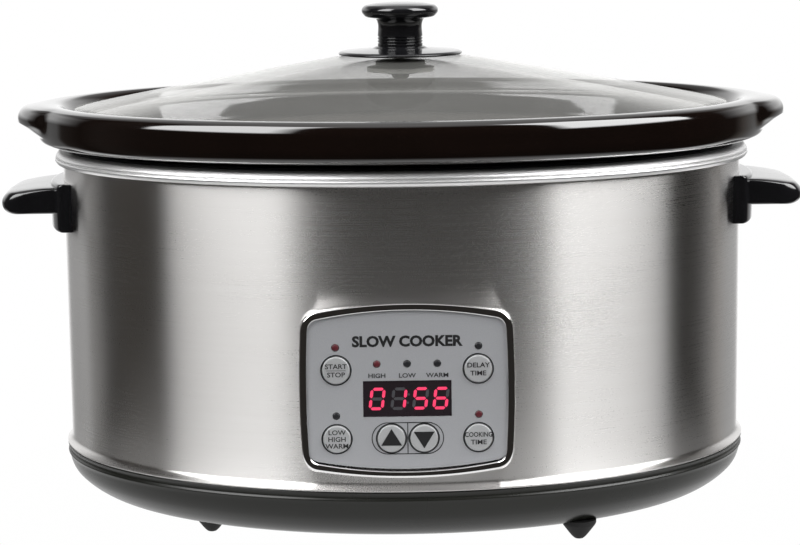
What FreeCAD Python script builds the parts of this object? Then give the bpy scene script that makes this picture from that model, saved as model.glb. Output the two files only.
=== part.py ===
import FreeCAD, Part
import math
import os

Vector = FreeCAD.Vector
os.makedirs("parts", exist_ok=True)

# Oval digital slow cooker, in millimetres. The origin is on the table under the middle of the
# oval, +X to the right-hand handle, +Y to the rear and +Z up. Each piece is one STEP file.

# ---- driving sizes: sleeve ----
oval_x = 177.0              # outside of the steel sleeve, half its length
oval_y = 130.0              # outside of the steel sleeve, half its width
sleeve_sheet = 0.8
sleeve_low = 34.0           # edge of the flared foot
sleeve_high = 181.0         # top edge, under the trim ring
sleeve_flare = 2.6          # how far the foot stands out of the straight wall
sleeve_flare_height = 3.4
fit = 0.3                   # general clearance between pieces

# ---- trim ring and seal ----
ring_high = sleeve_high + 7.2
ring_bulge = 4.2            # how far the ring stands out of the sleeve
ring_inset = 3.5            # how far it reaches inwards
seal_height = 2.6

# ---- base, feet and gland ----
base_floor = 7.0            # underside of the plastic base
base_wall = 2.5
base_inset = 28.0           # how far the bowl narrows down to its floor
base_gap = 0.4              # seam between the base and the sleeve
base_top = sleeve_low - base_gap
# the bowl, from the floor up to the ridge, as (growth from the sleeve, height under the top)
bowl_outline = [(-21.0, 25.6), (-15.0, 23.8), (-10.4, 21.4), (-6.6, 18.8), (-3.4, 16.0), (-1.2, 13.6),
                (0.3, 11.0), (1.2, 8.2), (1.7, 5.8)]
# the band over the ridge
band_outline = [(2.5, 4.3), (1.7, 3.0), (1.8, 1.4), (2.6, 0.4), (2.3, 0.0)]
lip_height = 3.4            # lip that locates the sleeve
lip_inset = 1.4
lip_thick = 2.6
# the four feet stand on two diagonals of different length
wide_foot_x = oval_x - 78.0
wide_foot_y = oval_y - 56.0
near_foot_x = oval_x - 92.0
near_foot_y = oval_y - 33.0
foot_radius = 8.6
foot_tip = 1.8              # flat at the bottom of a foot
foot_sink = 7.0             # how far a foot's body reaches up beside the bowl
gland_height = 20.0
gland_bore = 3.6
gland_radius = 6.0
gland_flange = 8.5
vent_count = 7
vent_pitch = 14.0
vent_width = 3.0
vent_length = 26.0
vent_y = oval_y - 68.0

# ---- liner, heater and the pieces under it ----
liner_sheet = 0.8
liner_floor = 58.0          # underside of the heating well
liner_top_inset = 8.3       # inner face of the well at its rim, inwards from the sleeve
liner_low_inset = 20.5      # the same at the start of the bottom corner
liner_corner = 6.0
liner_flange = ring_high - 1.2   # top face of the rolled rim
heater_low = liner_floor + 14.0
heater_high = heater_low + 40.0
heater_sheet = 1.2
tab_low = heater_low + 16.0
tab_high = tab_low + 8.0
tab_y = 5.0                 # the heater's two tabs stand at each side of the middle
blanket_low = heater_low - 6.0
blanket_high = heater_high + 28.0
blanket_thick = 2.5
shield_x = oval_x - 31.0
shield_y = oval_y - 27.0
shield_level = liner_floor - 8.0
shield_sheet = 0.8
pillar_x = 100.0
pillar_y = 52.0
pillar_radius = 5.0
stud_radius = 2.5
nut_height = 4.0
spacer_radius = 6.0

# ---- crock ----
collar_x = oval_x + 13.0
collar_y = oval_y + 9.5
collar_low = ring_high + 3.8
collar_high = collar_low + 20.3
collar_round = 5.0          # radius of the collar's lower outer corner
collar_top_round = 6.5      # radius of its top
collar_width = 15.5         # from the outside of the collar to the lid recess
seat_level = collar_high - 7.3   # ledge that carries the lid
seat_width = 8.5
crock_top_inset = 11.5      # outside of the pot below the collar, inwards from the sleeve
crock_low_inset = 24.0
crock_corner = 11.0
crock_wall = 7.0
crock_bottom = 10.0
ear_centre = collar_x - 30.0
ear_x = 40.5                # reach of an ear from its centre
ear_y = 52.0
ear_low = collar_low + 5.0
ear_high = collar_high - 1.3

# ---- lid ----
lid_x = collar_x - 19.0
lid_y = collar_y - 19.0
lid_edge = 4.6              # height of the ground edge
lid_rise = 31.8             # height of the cone above the edge
lid_bevel = 0.8
lid_land = 6.8              # flat ring under the edge that rests on the ledge
lid_blunt = 0.13            # rounding of the cone's top, as a share of its size
lid_thick = 4.5
lid_hole = 3.5
knob_high = seat_level + 57.0
knob_cap_radius = 20.0
knob_cap_height = 8.0
knob_neck_radius = 11.75
knob_groove = 0.6
flange_radius = 32.5
flange_thick = 2.4
flange_gap = 0.26           # from the flange's rim down to the glass
flange_land = 8.0           # radius of its flat middle
gasket_radius = 17.5
gasket_neck = 13.0          # its upper part, against the glass
gasket_thick = 6.6
gasket_rim = 2.4            # height of the wider disc at its foot
gasket_land = 5.5           # radius of the flat that meets the glass
gasket_chamfer = 1.2        # fall from that flat to the neck
gasket_step = 0.8
washer_radius = 8.0
washer_thick = 1.2
knob_screw_radius = 2.5

# ---- handles ----
handle_reach = oval_x + 32.0   # tip of the grip from the middle of the oval
grip_low = sleeve_high - 24.0
grip_high = grip_low + 14.0
grip_half = 33.5            # half the grip's width at the guard plate
grip_tip_half = 27.5
grip_corner = 13.0
guard_low = grip_low - 9.0
guard_high = grip_high + 2.0
guard_half = 38.0
guard_thick = 7.0
handle_screw_y = 22.0
handle_screw_radius = 1.75
handle_screw_reach = 15.0

# ---- control panel ----
panel_front = oval_y + 4.5   # front of the chrome frame, from the middle of the oval
panel_half = 51.6
panel_low = sleeve_low + 6.8
panel_high = panel_low + 85.8
panel_arch = 5.2            # rise of the arched top and bottom edges
panel_corner = 10.0
frame_width = 3.9
fascia_recess = 1.2
fascia_thick = 1.8
box_half = 43.5
box_low = panel_low + 9.2
box_high = panel_high - 11.1
box_corner = 5.0
box_back = oval_y - 9.0
box_wall = 1.5
board_thick = 1.6
board_gap = 6.0             # from the fascia's back to the control board
boss_x = 22.0               # screw bosses behind the fascia
boss_low = panel_low + 16.2
boss_high = panel_high - 18.6
button_radius = 6.6
button_gap = 0.35
button_proud = 1.1
button_rim = 0.9            # how far the retaining rim is wider than the cap
button_travel = 0.5
side_button_x = 33.8
upper_button_z = panel_low + 53.5
lower_button_z = panel_low + 20.0
arrow_button_x = 7.8
light_radius = 1.8
side_light_x = 34.0
upper_light_z = panel_low + 64.4
lower_light_z = panel_low + 31.2
mode_light_x = 14.4
mode_light_z = panel_low + 56.2
window_half = 21.1
window_low = panel_low + 30.5
window_high = window_low + 17.6

# ---- power board in the base ----
power_left = 14.0
power_right = 92.0
power_half = 40.0           # half its size from front to rear
power_level = 24.0
power_post = 3.5
lead_radius = 1.2
lead_bend = 10.0
ribbon_x = 33.0
ribbon_half = 7.0
ribbon_exit = panel_low + 16.2   # height at which it leaves the panel box
ribbon_thick = 1.0
ribbon_bend = 5.0
ribbon_drop_y = oval_y - 20.0

pieces = {}


def stack(profile, half_x=oval_x, half_y=oval_y, share=1.0):
    """Solid of oval sections; each profile point is (growth, height), share scales Y growth."""
    wires = []
    for growth, height in profile:
        oval = Part.Ellipse(Vector(0, 0, height), half_x + growth, half_y + share * growth)
        wires.append(Part.Wire(oval.toShape()))
    return Part.makeLoft(wires, True, True)


def arc_points(growth, height, radius, start, end, steps=6):
    """Profile points on an arc about (growth, height), angles in degrees from outwards."""
    points = []
    for step in range(steps + 1):
        angle = math.radians(start + (end - start) * step / steps)
        points.append((growth + radius * math.cos(angle), height + radius * math.sin(angle)))
    return points


def box(x0, x1, y0, y1, z0, z1):
    return Part.makeBox(x1 - x0, y1 - y0, z1 - z0, Vector(x0, y0, z0))


def rod(radius, start, end):
    """Round bar from one point to another."""
    start = Vector(*start)
    path = Vector(*end) - start
    return Part.makeCylinder(radius, path.Length, start, path)


def turned(points, x=0.0, y=0.0):
    """Solid turned about a vertical axis from a closed (radius, height) outline."""
    corners = [Vector(radius, 0, height) for radius, height in points]
    outline = Part.makePolygon(corners + [corners[0]])
    solid = Part.Face(outline).revolve(Vector(0, 0, 0), Vector(0, 0, 1), 360)
    solid.translate(Vector(x, y, 0))
    return solid


def swept(profile, edges):
    return Part.Wire(edges).makePipeShell([profile], True, False)


def corners_of(x, y):
    return [(-x, -y), (x, -y), (-x, y), (x, y)]


def edges_along_y(solid):
    return [edge for edge in solid.Edges if abs(edge.tangentAt(edge.FirstParameter).y) > 0.99]


def arched(half, low, high, arch, corner, front, back):
    """Plate in the XZ plane with arched top and bottom and rounded corners, from front to back."""
    upper = high - arch
    lower = low + arch
    top = Part.Arc(Vector(-half, front, upper), Vector(0, front, high), Vector(half, front, upper))
    right = Part.LineSegment(Vector(half, front, upper), Vector(half, front, lower))
    bottom = Part.Arc(Vector(half, front, lower), Vector(0, front, low), Vector(-half, front, lower))
    left = Part.LineSegment(Vector(-half, front, lower), Vector(-half, front, upper))
    wire = Part.Wire([edge.toShape() for edge in (top, right, bottom, left)])
    plate = Part.Face(wire).extrude(Vector(0, back - front, 0))
    return plate.makeFillet(corner, edges_along_y(plate))


def sleeve_body(growth, low, high):
    """Straight oval block of the sleeve's outline, grown or shrunk."""
    return stack([(growth, low), (growth, high)])


# ---- sleeve and trim ring ----
def flare_points(inwards):
    """Concave foot of the sleeve, from its edge up to the straight wall, moved inwards."""
    points = [(sleeve_flare - inwards, sleeve_low)]
    rim = sleeve_low + sleeve_sheet
    for step in range(7):
        share = step / 6
        points.append((sleeve_flare * (1 - share) ** 2 - inwards, rim + sleeve_flare_height * share))
    return points


def make_sleeve():
    outer = stack(flare_points(0) + [(0, sleeve_high)])
    inner = flare_points(sleeve_sheet)
    inner = [(inner[0][0], sleeve_low - 1)] + inner[1:] + [(-sleeve_sheet, sleeve_high + 1)]
    window = box(-box_half - fit, box_half + fit, -oval_y - 5, -box_back, box_low - fit, box_high + fit)
    sleeve = outer.cut(window)
    for side in (-1, 1):
        for y in (-handle_screw_y, handle_screw_y):
            inside = (side * (oval_x - 30), y, screw_level())
            outside = (side * (oval_x + 10), y, screw_level())
            sleeve = sleeve.cut(rod(handle_screw_radius + fit, inside, outside))
    return sleeve.cut(stack(inner))


def screw_level():
    return (grip_low + grip_high) / 2


def make_trim_ring():
    middle = (sleeve_high + ring_high) / 2
    half_height = (ring_high - sleeve_high) / 2
    profile = [(0, sleeve_high)]
    for step in range(1, 10):
        angle = math.radians(-90 + 20 * step)
        profile.append((ring_bulge * math.cos(angle), middle + half_height * math.sin(angle)))
    profile.append((-1, ring_high))
    ring = stack(profile)
    return ring.cut(sleeve_body(-ring_inset, sleeve_high - 1, ring_high + 1))


def make_rim_seal():
    outer = sleeve_body(-ring_inset - 0.1, liner_flange, liner_flange + seal_height)
    return outer.cut(sleeve_body(-liner_top_inset, liner_flange - 1, liner_flange + seal_height + 1))


pieces["outer_sleeve"] = make_sleeve()
pieces["trim_ring"] = make_trim_ring()
pieces["rim_seal"] = make_rim_seal()


# ---- heating well ----
well_start = liner_floor + liner_sheet + liner_corner
well_slope = (liner_low_inset - liner_top_inset) / (liner_flange - well_start)


def well_inner(height):
    """Growth of the well's inner face at a height above its bottom corner."""
    return -liner_low_inset + well_slope * (height - well_start)


def well_band(inner, outer, low, high):
    """Ring round the well between two distances from its outer face."""
    grown = [(well_inner(z) + liner_sheet + outer, z) for z in (low, high)]
    cut = [(well_inner(z) + liner_sheet + inner, z) for z in (low, high)]
    slope = (cut[1][0] - cut[0][0]) / (high - low)
    cut = [(cut[0][0] - slope, low - 1), (cut[1][0] + slope, high + 1)]
    return stack(grown).cut(stack(cut))


def make_liner():
    centre = -liner_low_inset - liner_corner
    base = liner_floor + liner_sheet + liner_corner
    outer_corner = arc_points(centre, base, liner_corner + liner_sheet, -90, 0)
    inner_corner = arc_points(centre, base, liner_corner, -90, 0)
    outer = stack(outer_corner + [(well_inner(liner_flange) + liner_sheet, liner_flange)])
    flange = sleeve_body(-ring_inset, liner_flange - liner_sheet, liner_flange)
    inner = stack(inner_corner + [(well_inner(liner_flange + 1), liner_flange + 1)])
    return outer.fuse(flange).cut(inner)


def make_heater():
    band = well_band(0, heater_sheet, heater_low, heater_high)
    for y in (-tab_y, tab_y):
        band = band.fuse(box(tab_end() - 20, tab_end(), y - 3, y + 3, tab_low, tab_high))
    return band.cut(stack([(well_inner(z) + liner_sheet, z) for z in (heater_low, heater_high)]))


def tab_end():
    return oval_x + well_inner(tab_high) + liner_sheet + heater_sheet + blanket_thick + 5


def make_blanket():
    blanket = well_band(heater_sheet, heater_sheet + blanket_thick, blanket_low, blanket_high)
    return blanket.cut(box(tab_end() - 20, oval_x, -tab_y - 4, tab_y + 4, tab_low - 1, tab_high + 1))


pieces["heating_well"] = make_liner()
pieces["heater_band"] = make_heater()
pieces["insulation_blanket"] = make_blanket()

shield_top = shield_level + shield_sheet
shield = stack([(0, shield_level), (0, shield_top)], shield_x, shield_y)
shield = shield.cut(rod(stud_radius + fit, (0, 0, shield_level - 1), (0, 0, shield_top + 1)))
for post_x, post_y in corners_of(pillar_x, pillar_y):
    shield = shield.cut(rod(2.1, (post_x, post_y, shield_level - 1), (post_x, post_y, shield_top + 1)))
pieces["heat_shield"] = shield

spacer = rod(spacer_radius, (0, 0, shield_top), (0, 0, liner_floor))
pieces["tie_spacer"] = spacer.cut(rod(stud_radius + fit, (0, 0, shield_top - 1), (0, 0, liner_floor + 1)))
pieces["tie_stud"] = rod(stud_radius, (0, 0, 2.0), (0, 0, liner_floor))


def hexagon(width, low, high, hole):
    radius = width / math.sqrt(3)
    corners = []
    for step in range(7):
        angle = math.radians(60 * step)
        corners.append(Vector(radius * math.cos(angle), radius * math.sin(angle), low))
    prism = Part.Face(Part.makePolygon(corners)).extrude(Vector(0, 0, high - low))
    return prism.cut(rod(hole, (0, 0, low - 1), (0, 0, high + 1)))


pieces["tie_nut"] = hexagon(9.0, base_floor - nut_height, base_floor, stud_radius)

sensor_x = 46.0
sensor = rod(7.0, (sensor_x, 0, liner_floor - 4), (sensor_x, 0, liner_floor))
pieces["temperature_sensor"] = sensor
holder = rod(9.0, (sensor_x, 0, shield_top), (sensor_x, 0, liner_floor - 1))
pieces["sensor_holder"] = holder.cut(rod(7.0, (sensor_x, 0, liner_floor - 4), (sensor_x, 0, liner_floor)))

fuse_z = liner_floor - 2.2
pieces["thermal_fuse"] = rod(2.0, (-52, -9, fuse_z), (-52, 9, fuse_z))
clip = box(-56, -48, -4, 4, shield_top, liner_floor)
pieces["fuse_clip"] = clip.cut(rod(2.0, (-52, -9, fuse_z), (-52, 9, fuse_z)))


# ---- base ----
def base_shape():
    """Outside of the plastic base, from its floor to the seam under the sleeve."""
    outline = [(-base_inset, base_floor)]
    outline += [(growth, base_top - drop) for growth, drop in bowl_outline + band_outline]
    return stack(outline, share=oval_y / oval_x)


def base_hollow():
    inside = -lip_inset - lip_thick
    hollow = [(-base_inset - base_wall, base_floor + base_wall)]
    for growth, drop in bowl_outline:
        hollow.append((min(growth - base_wall, inside), base_top - drop + base_wall))
    hollow.append((inside, sleeve_low + lip_height + 1))
    return stack(hollow, share=oval_y / oval_x)


def make_base():
    outside = base_shape()
    lip = sleeve_body(-lip_inset, base_top - 1, sleeve_low + lip_height)
    base = outside.fuse(lip).cut(base_hollow())
    inner_floor = base_floor + base_wall
    for x, y in corners_of(pillar_x, pillar_y):
        base = base.fuse(rod(pillar_radius, (x, y, inner_floor), (x, y, shield_level)))
        base = base.cut(rod(1.6, (x, y, shield_level - 14), (x, y, shield_level + 1)))
    for x, y in power_posts():
        base = base.fuse(rod(power_post, (x, y, inner_floor), (x, y, power_level)))
        base = base.cut(rod(1.3, (x, y, power_level - 8), (x, y, power_level + 1)))
    base = base.cut(rod(stud_radius + fit, (0, 0, 0), (0, 0, 20)))
    for side in (-1, 1):
        for step in range(vent_count):
            x = (step - (vent_count - 1) / 2) * vent_pitch
            y = side * vent_y
            half_x = vent_width / 2
            half_y = vent_length / 2
            base = base.cut(box(x - half_x, x + half_x, y - half_y, y + half_y, 0, 20))
    return base.cut(rod(gland_radius, (0, oval_y - 40, gland_height), (0, oval_y + 10, gland_height)))


def power_posts():
    inset = 6.0
    xs = (power_left + inset, power_right - inset)
    return [(x, y) for x in xs for y in (-power_half + inset, power_half - inset)]


pieces["base_housing"] = make_base()

feet = {
    "front_left": (-wide_foot_x, -wide_foot_y),
    "front_right": (near_foot_x, -near_foot_y),
    "rear_left": (-near_foot_x, near_foot_y),
    "rear_right": (wide_foot_x, wide_foot_y),
}


def make_foot(x, y):
    """Blunt cone under the base, cut away where it meets the bowl."""
    top = base_floor + foot_sink
    outline = [(0, 0), (foot_tip, 0), (foot_tip + 1.4, 0.5), (foot_tip + 2.6, 2.0)]
    outline += [(foot_radius - 0.6, base_floor - 1.2), (foot_radius, base_floor)]
    outline += [(foot_radius, top), (0, top)]
    return turned(outline, x, y).cut(base_shape())


for name, (x, y) in feet.items():
    pieces["foot_" + name] = make_foot(x, y)


def make_gland():
    inner_face = oval_y - 25
    body = rod(gland_radius, (0, inner_face, gland_height), (0, oval_y, gland_height))
    collar = rod(gland_flange, (0, oval_y - 14, gland_height), (0, oval_y + 2, gland_height))
    gland = body.fuse(collar.cut(base_shape())).removeSplitter()
    return gland.cut(rod(gland_bore, (0, 0, gland_height), (0, oval_y + 20, gland_height)))


pieces["cord_gland"] = make_gland()


# ---- electrical parts in the base ----
def screw(x, y, seat, length, radius, head_radius, head_height):
    """Upright screw whose head sits on the seat and whose shank goes down."""
    head = rod(head_radius, (x, y, seat), (x, y, seat + head_height))
    return head.fuse(rod(radius, (x, y, seat - length), (x, y, seat)))


power_top = power_level + board_thick
power = box(power_left, power_right, -power_half, power_half, power_level, power_top)
for post_x, post_y in power_posts():
    power = power.cut(rod(1.6, (post_x, post_y, power_level - 1), (post_x, post_y, power_top + 1)))
socket_half = ribbon_half + 2
socket_front = -power_half + 8
socket_size = 6.0
socket_back = socket_front + socket_size
socket_top = power_top + socket_size
socket = box(ribbon_x - socket_half, ribbon_x + socket_half, socket_front, socket_back, power_top, socket_top)
pieces["power_board"] = power.fuse(socket)
pieces["transformer"] = box(24, 56, 2, 32, power_top, power_top + 19)
pieces["relay"] = box(20, 39, -18, -3, power_top, power_top + 15)
pieces["terminal_block"] = box(76, 90, -16, 16, power_top, power_top + 12)
pieces["filter_capacitor"] = rod(6.0, (60, -22, power_top), (60, -22, power_top + 16))
board_screws = [screw(x, y, power_top, 8, 1.3, 2.8, 1.8) for x, y in power_posts()]
pieces["board_screws"] = Part.makeCompound(board_screws)
shield_screws = [screw(x, y, shield_top, 10, 1.6, 3.4, 2.0) for x, y in corners_of(pillar_x, pillar_y)]
pieces["shield_screws"] = Part.makeCompound(shield_screws)


def line(start, end):
    return Part.LineSegment(Vector(*start), Vector(*end)).toShape()


def bend(start, middle, end):
    return Part.Arc(Vector(*start), Vector(*middle), Vector(*end)).toShape()


def make_heater_lead(y):
    level = power_top + 6
    turn = tab_end() - 3
    bow = lead_bend * (1 - math.sqrt(0.5))
    start = (90, y, level)
    first = (turn - lead_bend, y, level)
    middle = (turn - bow, y, level + bow)
    last = (turn, y, level + lead_bend)
    top = (turn, y, tab_low)
    edges = [line(start, first), bend(first, middle, last), line(last, top)]
    ring = Part.Circle(Vector(*start), Vector(1, 0, 0), lead_radius).toShape()
    return swept(Part.Wire(ring), edges)


def make_ribbon():
    top = ribbon_exit
    low = power_top + 3
    back = panel_front - fascia_recess - fascia_thick - board_gap - board_thick
    bow = ribbon_bend * (1 - math.sqrt(0.5))
    start = (ribbon_x, -back, top)
    a = (ribbon_x, -ribbon_drop_y - ribbon_bend, top)
    a_middle = (ribbon_x, -ribbon_drop_y - bow, top - bow)
    b = (ribbon_x, -ribbon_drop_y, top - ribbon_bend)
    c = (ribbon_x, -ribbon_drop_y, low + ribbon_bend)
    c_middle = (ribbon_x, -ribbon_drop_y + bow, low + bow)
    d = (ribbon_x, -ribbon_drop_y + ribbon_bend, low)
    end = (ribbon_x, -power_half + 8, low)
    edges = [line(start, a), bend(a, a_middle, b), line(b, c), bend(c, c_middle, d), line(d, end)]
    half = ribbon_thick / 2
    corners = [(-ribbon_half, -half), (ribbon_half, -half), (ribbon_half, half), (-ribbon_half, half)]
    points = [Vector(ribbon_x + x, -back, top + z) for x, z in corners]
    return swept(Part.makePolygon(points + [points[0]]), edges)


pieces["heater_leads"] = Part.makeCompound([make_heater_lead(y) for y in (-tab_y, tab_y)])
pieces["panel_ribbon"] = make_ribbon()


# ---- crock ----
def make_crock():
    centre = -crock_low_inset - crock_corner
    foot = liner_floor + liner_sheet
    corner = arc_points(centre, foot + crock_corner, crock_corner, -90, 0)
    pot = stack(corner + [(-crock_top_inset, collar_low + 1)])
    low_round = arc_points(-collar_round, collar_low + collar_round, collar_round, -90, 0)
    top_round = arc_points(-collar_top_round, collar_high - collar_top_round, collar_top_round, 0, 90)
    collar = stack(low_round + top_round, collar_x, collar_y)
    crock = pot.fuse(collar)
    for side in (-1, 1):
        crock = crock.fuse(make_ear(side))
    recess = [(-collar_width, seat_level), (-collar_width + 3.0, collar_high + 0.1)]
    recess = stack(recess, collar_x, collar_y)
    inner_corner = crock_corner + 9
    inner_centre = -crock_low_inset - crock_wall - inner_corner
    floor = foot + crock_bottom
    hollow = arc_points(inner_centre, floor + inner_corner, inner_corner, -90, 0)
    hollow = stack(hollow + [(-crock_top_inset - crock_wall, collar_low), (seat_inner(), seat_level + 0.5)])
    return crock.cut(recess).cut(hollow)


def seat_inner():
    """Growth, from the sleeve, of the inner edge of the lid's ledge."""
    return collar_x - oval_x - collar_width - seat_width


def make_ear(side):
    wires = []
    steps = [(10.0, ear_low), (1.2, ear_low + 6), (0, ear_low + 9), (0.5, ear_high - 2), (3.0, ear_high)]
    for shrink, height in steps:
        middle = Vector(side * ear_centre, 0, height)
        far = Vector(side * ear_centre, ear_y - shrink, height)
        near = Vector(side * (ear_centre + ear_x - shrink), 0, height)
        wires.append(Part.Wire(Part.Ellipse(far, near, middle).toShape()))
    return Part.makeLoft(wires, True, True)


pieces["crock"] = make_crock()


# ---- lid ----
def lid_height(share):
    """Top of the glass at a share of the way from its middle to its edge."""
    blunt = math.sqrt(share * share + lid_blunt * lid_blunt)
    return seat_level + lid_edge + lid_rise * (1 - blunt)


def make_lid_glass():
    ratio = lid_y / lid_x
    edge = [(-lid_bevel, seat_level), (0, seat_level + lid_bevel), (0, lid_height(1.0) - lid_bevel)]
    shares = (0.8, 0.6, 0.45, 0.32, 0.22, 0.14, 0.05)
    cone = [((share - 1) * lid_x, lid_height(share)) for share in (0.994,) + shares]
    under = [((share - 1) * lid_x, lid_height(share) - lid_thick) for share in shares]
    land = 1 - lid_land / lid_x
    under = [(-lid_land, seat_level - 1), (-lid_land, lid_height(land) - lid_thick)] + under
    glass = stack(edge + cone, lid_x, lid_y, ratio).cut(stack(under, lid_x, lid_y, ratio))
    return glass.cut(rod(lid_hole, (0, 0, seat_level), (0, 0, knob_high)))


glass_top = lid_height(0.05)
glass_under = glass_top - lid_thick
flange_level = glass_top + fit


def make_flange():
    slope = flange_radius - 1.5
    rim = lid_height(slope / lid_x) + flange_gap
    outline = [(lid_hole, flange_level), (flange_land, flange_level), (slope, rim)]
    outline.append((flange_radius - 0.4, rim + 0.3))
    outline += [(flange_radius, rim + 1.2), (slope, rim + flange_thick)]
    top = flange_level + flange_thick - 0.5
    outline += [(knob_neck_radius + 1, top), (lid_hole, top)]
    return turned(outline)


def make_knob():
    low = flange_level + flange_thick - 0.5
    cap = knob_high - knob_cap_height
    outline = [(0, low + 2), (knob_screw_radius, low + 2), (knob_screw_radius, low), (knob_neck_radius, low)]
    for step in range(3):
        z = low + 1.5 + 1.4 * step
        outline += [(knob_neck_radius, z), (knob_neck_radius - knob_groove, z + 0.3)]
        outline.append((knob_neck_radius, z + 0.6))
    outline += [(knob_neck_radius - 0.3, cap - 2), (knob_neck_radius + 1.2, cap)]
    middle = cap + knob_cap_height * 0.45
    for step in range(9):
        angle = math.radians(-80 + 20 * step)
        out = knob_cap_radius - 3.4 + 3.4 * math.cos(angle)
        outline.append((out, middle + knob_cap_height * 0.45 * math.sin(angle)))
    outline += [(8, knob_high - 0.3), (0, knob_high)]
    return turned(outline).cut(rod(knob_screw_radius, (0, 0, low - 1), (0, 0, cap)))


def make_knob_screw():
    seat = glass_under - gasket_thick - washer_thick
    shank = rod(knob_screw_radius, (0, 0, seat), (0, 0, knob_high - knob_cap_height - 1))
    head = turned([(0, seat - 2.6), (3.2, seat - 2.6), (4.6, seat - 1.4), (4.6, seat), (0, seat)])
    return head.fuse(shank)


def disc(radius, hole, low, high):
    return rod(radius, (0, 0, low), (0, 0, high)).cut(rod(hole, (0, 0, low - 1), (0, 0, high + 1)))


pieces["lid_glass"] = make_lid_glass()
pieces["knob_flange"] = make_flange()
pieces["lid_knob"] = make_knob()
gasket_low = glass_under - gasket_thick
gasket = [(lid_hole, gasket_low), (gasket_radius, gasket_low), (gasket_radius, gasket_low + gasket_rim)]
gasket += [(gasket_neck, gasket_low + gasket_rim + gasket_step), (gasket_neck, glass_under - gasket_chamfer)]
gasket += [(gasket_land, glass_under), (lid_hole, glass_under)]
pieces["knob_gasket"] = turned(gasket)
pieces["knob_washer"] = disc(washer_radius, knob_screw_radius + 0.1, gasket_low - washer_thick, gasket_low)
pieces["knob_screw"] = make_knob_screw()


# ---- handles ----
def make_handle(side):
    nose = Part.Arc(Vector(handle_reach - 7, 0, grip_low), Vector(handle_reach - 1.9, 0, grip_low + 1.9),
                    Vector(handle_reach, 0, grip_low + 6.5))
    crown = Part.Arc(Vector(handle_reach, 0, grip_low + 6.5), Vector(handle_reach - 10, 0, grip_high - 2.4),
                     Vector(oval_x, 0, grip_high))
    root = oval_x - 12
    edges = [line((root, 0, grip_low), (handle_reach - 7, 0, grip_low)), nose.toShape(), crown.toShape()]
    edges.append(line((oval_x, 0, grip_high), (root, 0, grip_high)))
    edges.append(line((root, 0, grip_high), (root, 0, grip_low)))
    grip = Part.Face(Part.Wire(edges)).extrude(Vector(0, 2 * grip_half, 0))
    grip.translate(Vector(0, -grip_half, 0))
    tip = handle_reach + 1
    plan = [(root, -grip_half), (tip, -grip_tip_half), (tip, grip_tip_half), (root, grip_half)]
    points = [Vector(x, y, grip_low - 5) for x, y in plan]
    outline = Part.Face(Part.makePolygon(points + [points[0]])).extrude(Vector(0, 0, 30))
    uprights = [edge for edge in outline.Edges if abs(edge.tangentAt(edge.FirstParameter).z) > 0.99]
    tips = [edge for edge in uprights if edge.Vertexes[0].X > handle_reach]
    grip = grip.common(outline.makeFillet(grip_corner, tips))
    guard = box(oval_x - 30, oval_x + 30, -guard_half, guard_half, guard_low, guard_high)
    guard = guard.common(sleeve_body(guard_thick, guard_low - 1, guard_high + 1))
    handle = grip.fuse(guard).cut(sleeve_body(0, guard_low - 5, guard_high + 5))
    for y in (-handle_screw_y, handle_screw_y):
        start = (oval_x - 30, y, screw_level())
        handle = handle.cut(rod(handle_screw_radius, start, (screw_tip(), y, screw_level())))
    if side < 0:
        handle = handle.mirror(Vector(0, 0, 0), Vector(1, 0, 0))
    return handle


def screw_seat():
    """Where a handle screw's head lies against the inside of the sleeve."""
    inner = oval_x - sleeve_sheet
    edge = (handle_screw_y + 3.5) / (oval_y - sleeve_sheet)
    return inner * math.sqrt(1 - edge * edge) - 0.1


def screw_tip():
    return screw_seat() + handle_screw_reach


def make_handle_screws():
    screws = []
    for side in (-1, 1):
        for y in (-handle_screw_y, handle_screw_y):
            seat = (side * screw_seat(), y, screw_level())
            head = rod(3.5, (side * (screw_seat() - 2.4), y, screw_level()), seat)
            shank = rod(handle_screw_radius, seat, (side * screw_tip(), y, screw_level()))
            screws.append(head.fuse(shank))
    return Part.makeCompound(screws)


pieces["handle_left"] = make_handle(-1)
pieces["handle_right"] = make_handle(1)
pieces["handle_screws"] = make_handle_screws()


# ---- control panel: places run inwards from its front, so y is minus the distance ----
fascia_front = -panel_front + fascia_recess
fascia_back = fascia_front + fascia_thick
board_front = fascia_back + board_gap
board_back = board_front + board_thick
buttons = {
    "start_stop": (-side_button_x, upper_button_z),
    "delay_time": (side_button_x, upper_button_z),
    "heat_mode": (-side_button_x, lower_button_z),
    "cooking_time": (side_button_x, lower_button_z),
    "up": (-arrow_button_x, lower_button_z),
    "down": (arrow_button_x, lower_button_z),
}
lights = [(-side_light_x, upper_light_z), (side_light_x, upper_light_z), (-side_light_x, lower_light_z)]
lights += [(side_light_x, lower_light_z)]
lights += [(x, mode_light_z) for x in (-mode_light_x, 0.0, mode_light_x)]
bosses = [(-boss_x, boss_low), (boss_x, boss_low), (-boss_x, boss_high), (boss_x, boss_high)]


def pin(radius, x, z, front, back):
    """Round bar along Y, from its front to its back."""
    return rod(radius, (x, front, z), (x, back, z))


def make_bezel():
    outside = arched(panel_half, panel_low, panel_high, panel_arch, panel_corner, -panel_front, -box_back)
    rim = [edge for edge in outside.Edges if max(abs(v.Y + panel_front) for v in edge.Vertexes) < 0.001]
    outside = outside.makeFillet(1.2, rim)
    inside = opening_plate(0, -panel_front - 1, -box_back + 1)
    return outside.cut(inside).cut(sleeve_body(0, panel_low - 5, panel_high + 5))


def opening_plate(gap, front, back):
    """Plate that fills the frame's opening, less a gap all round."""
    inset = frame_width + gap
    return arched(panel_half - inset, panel_low + inset + 1, panel_high - inset, panel_arch - 0.4,
                  panel_corner - frame_width, front, back)


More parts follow.
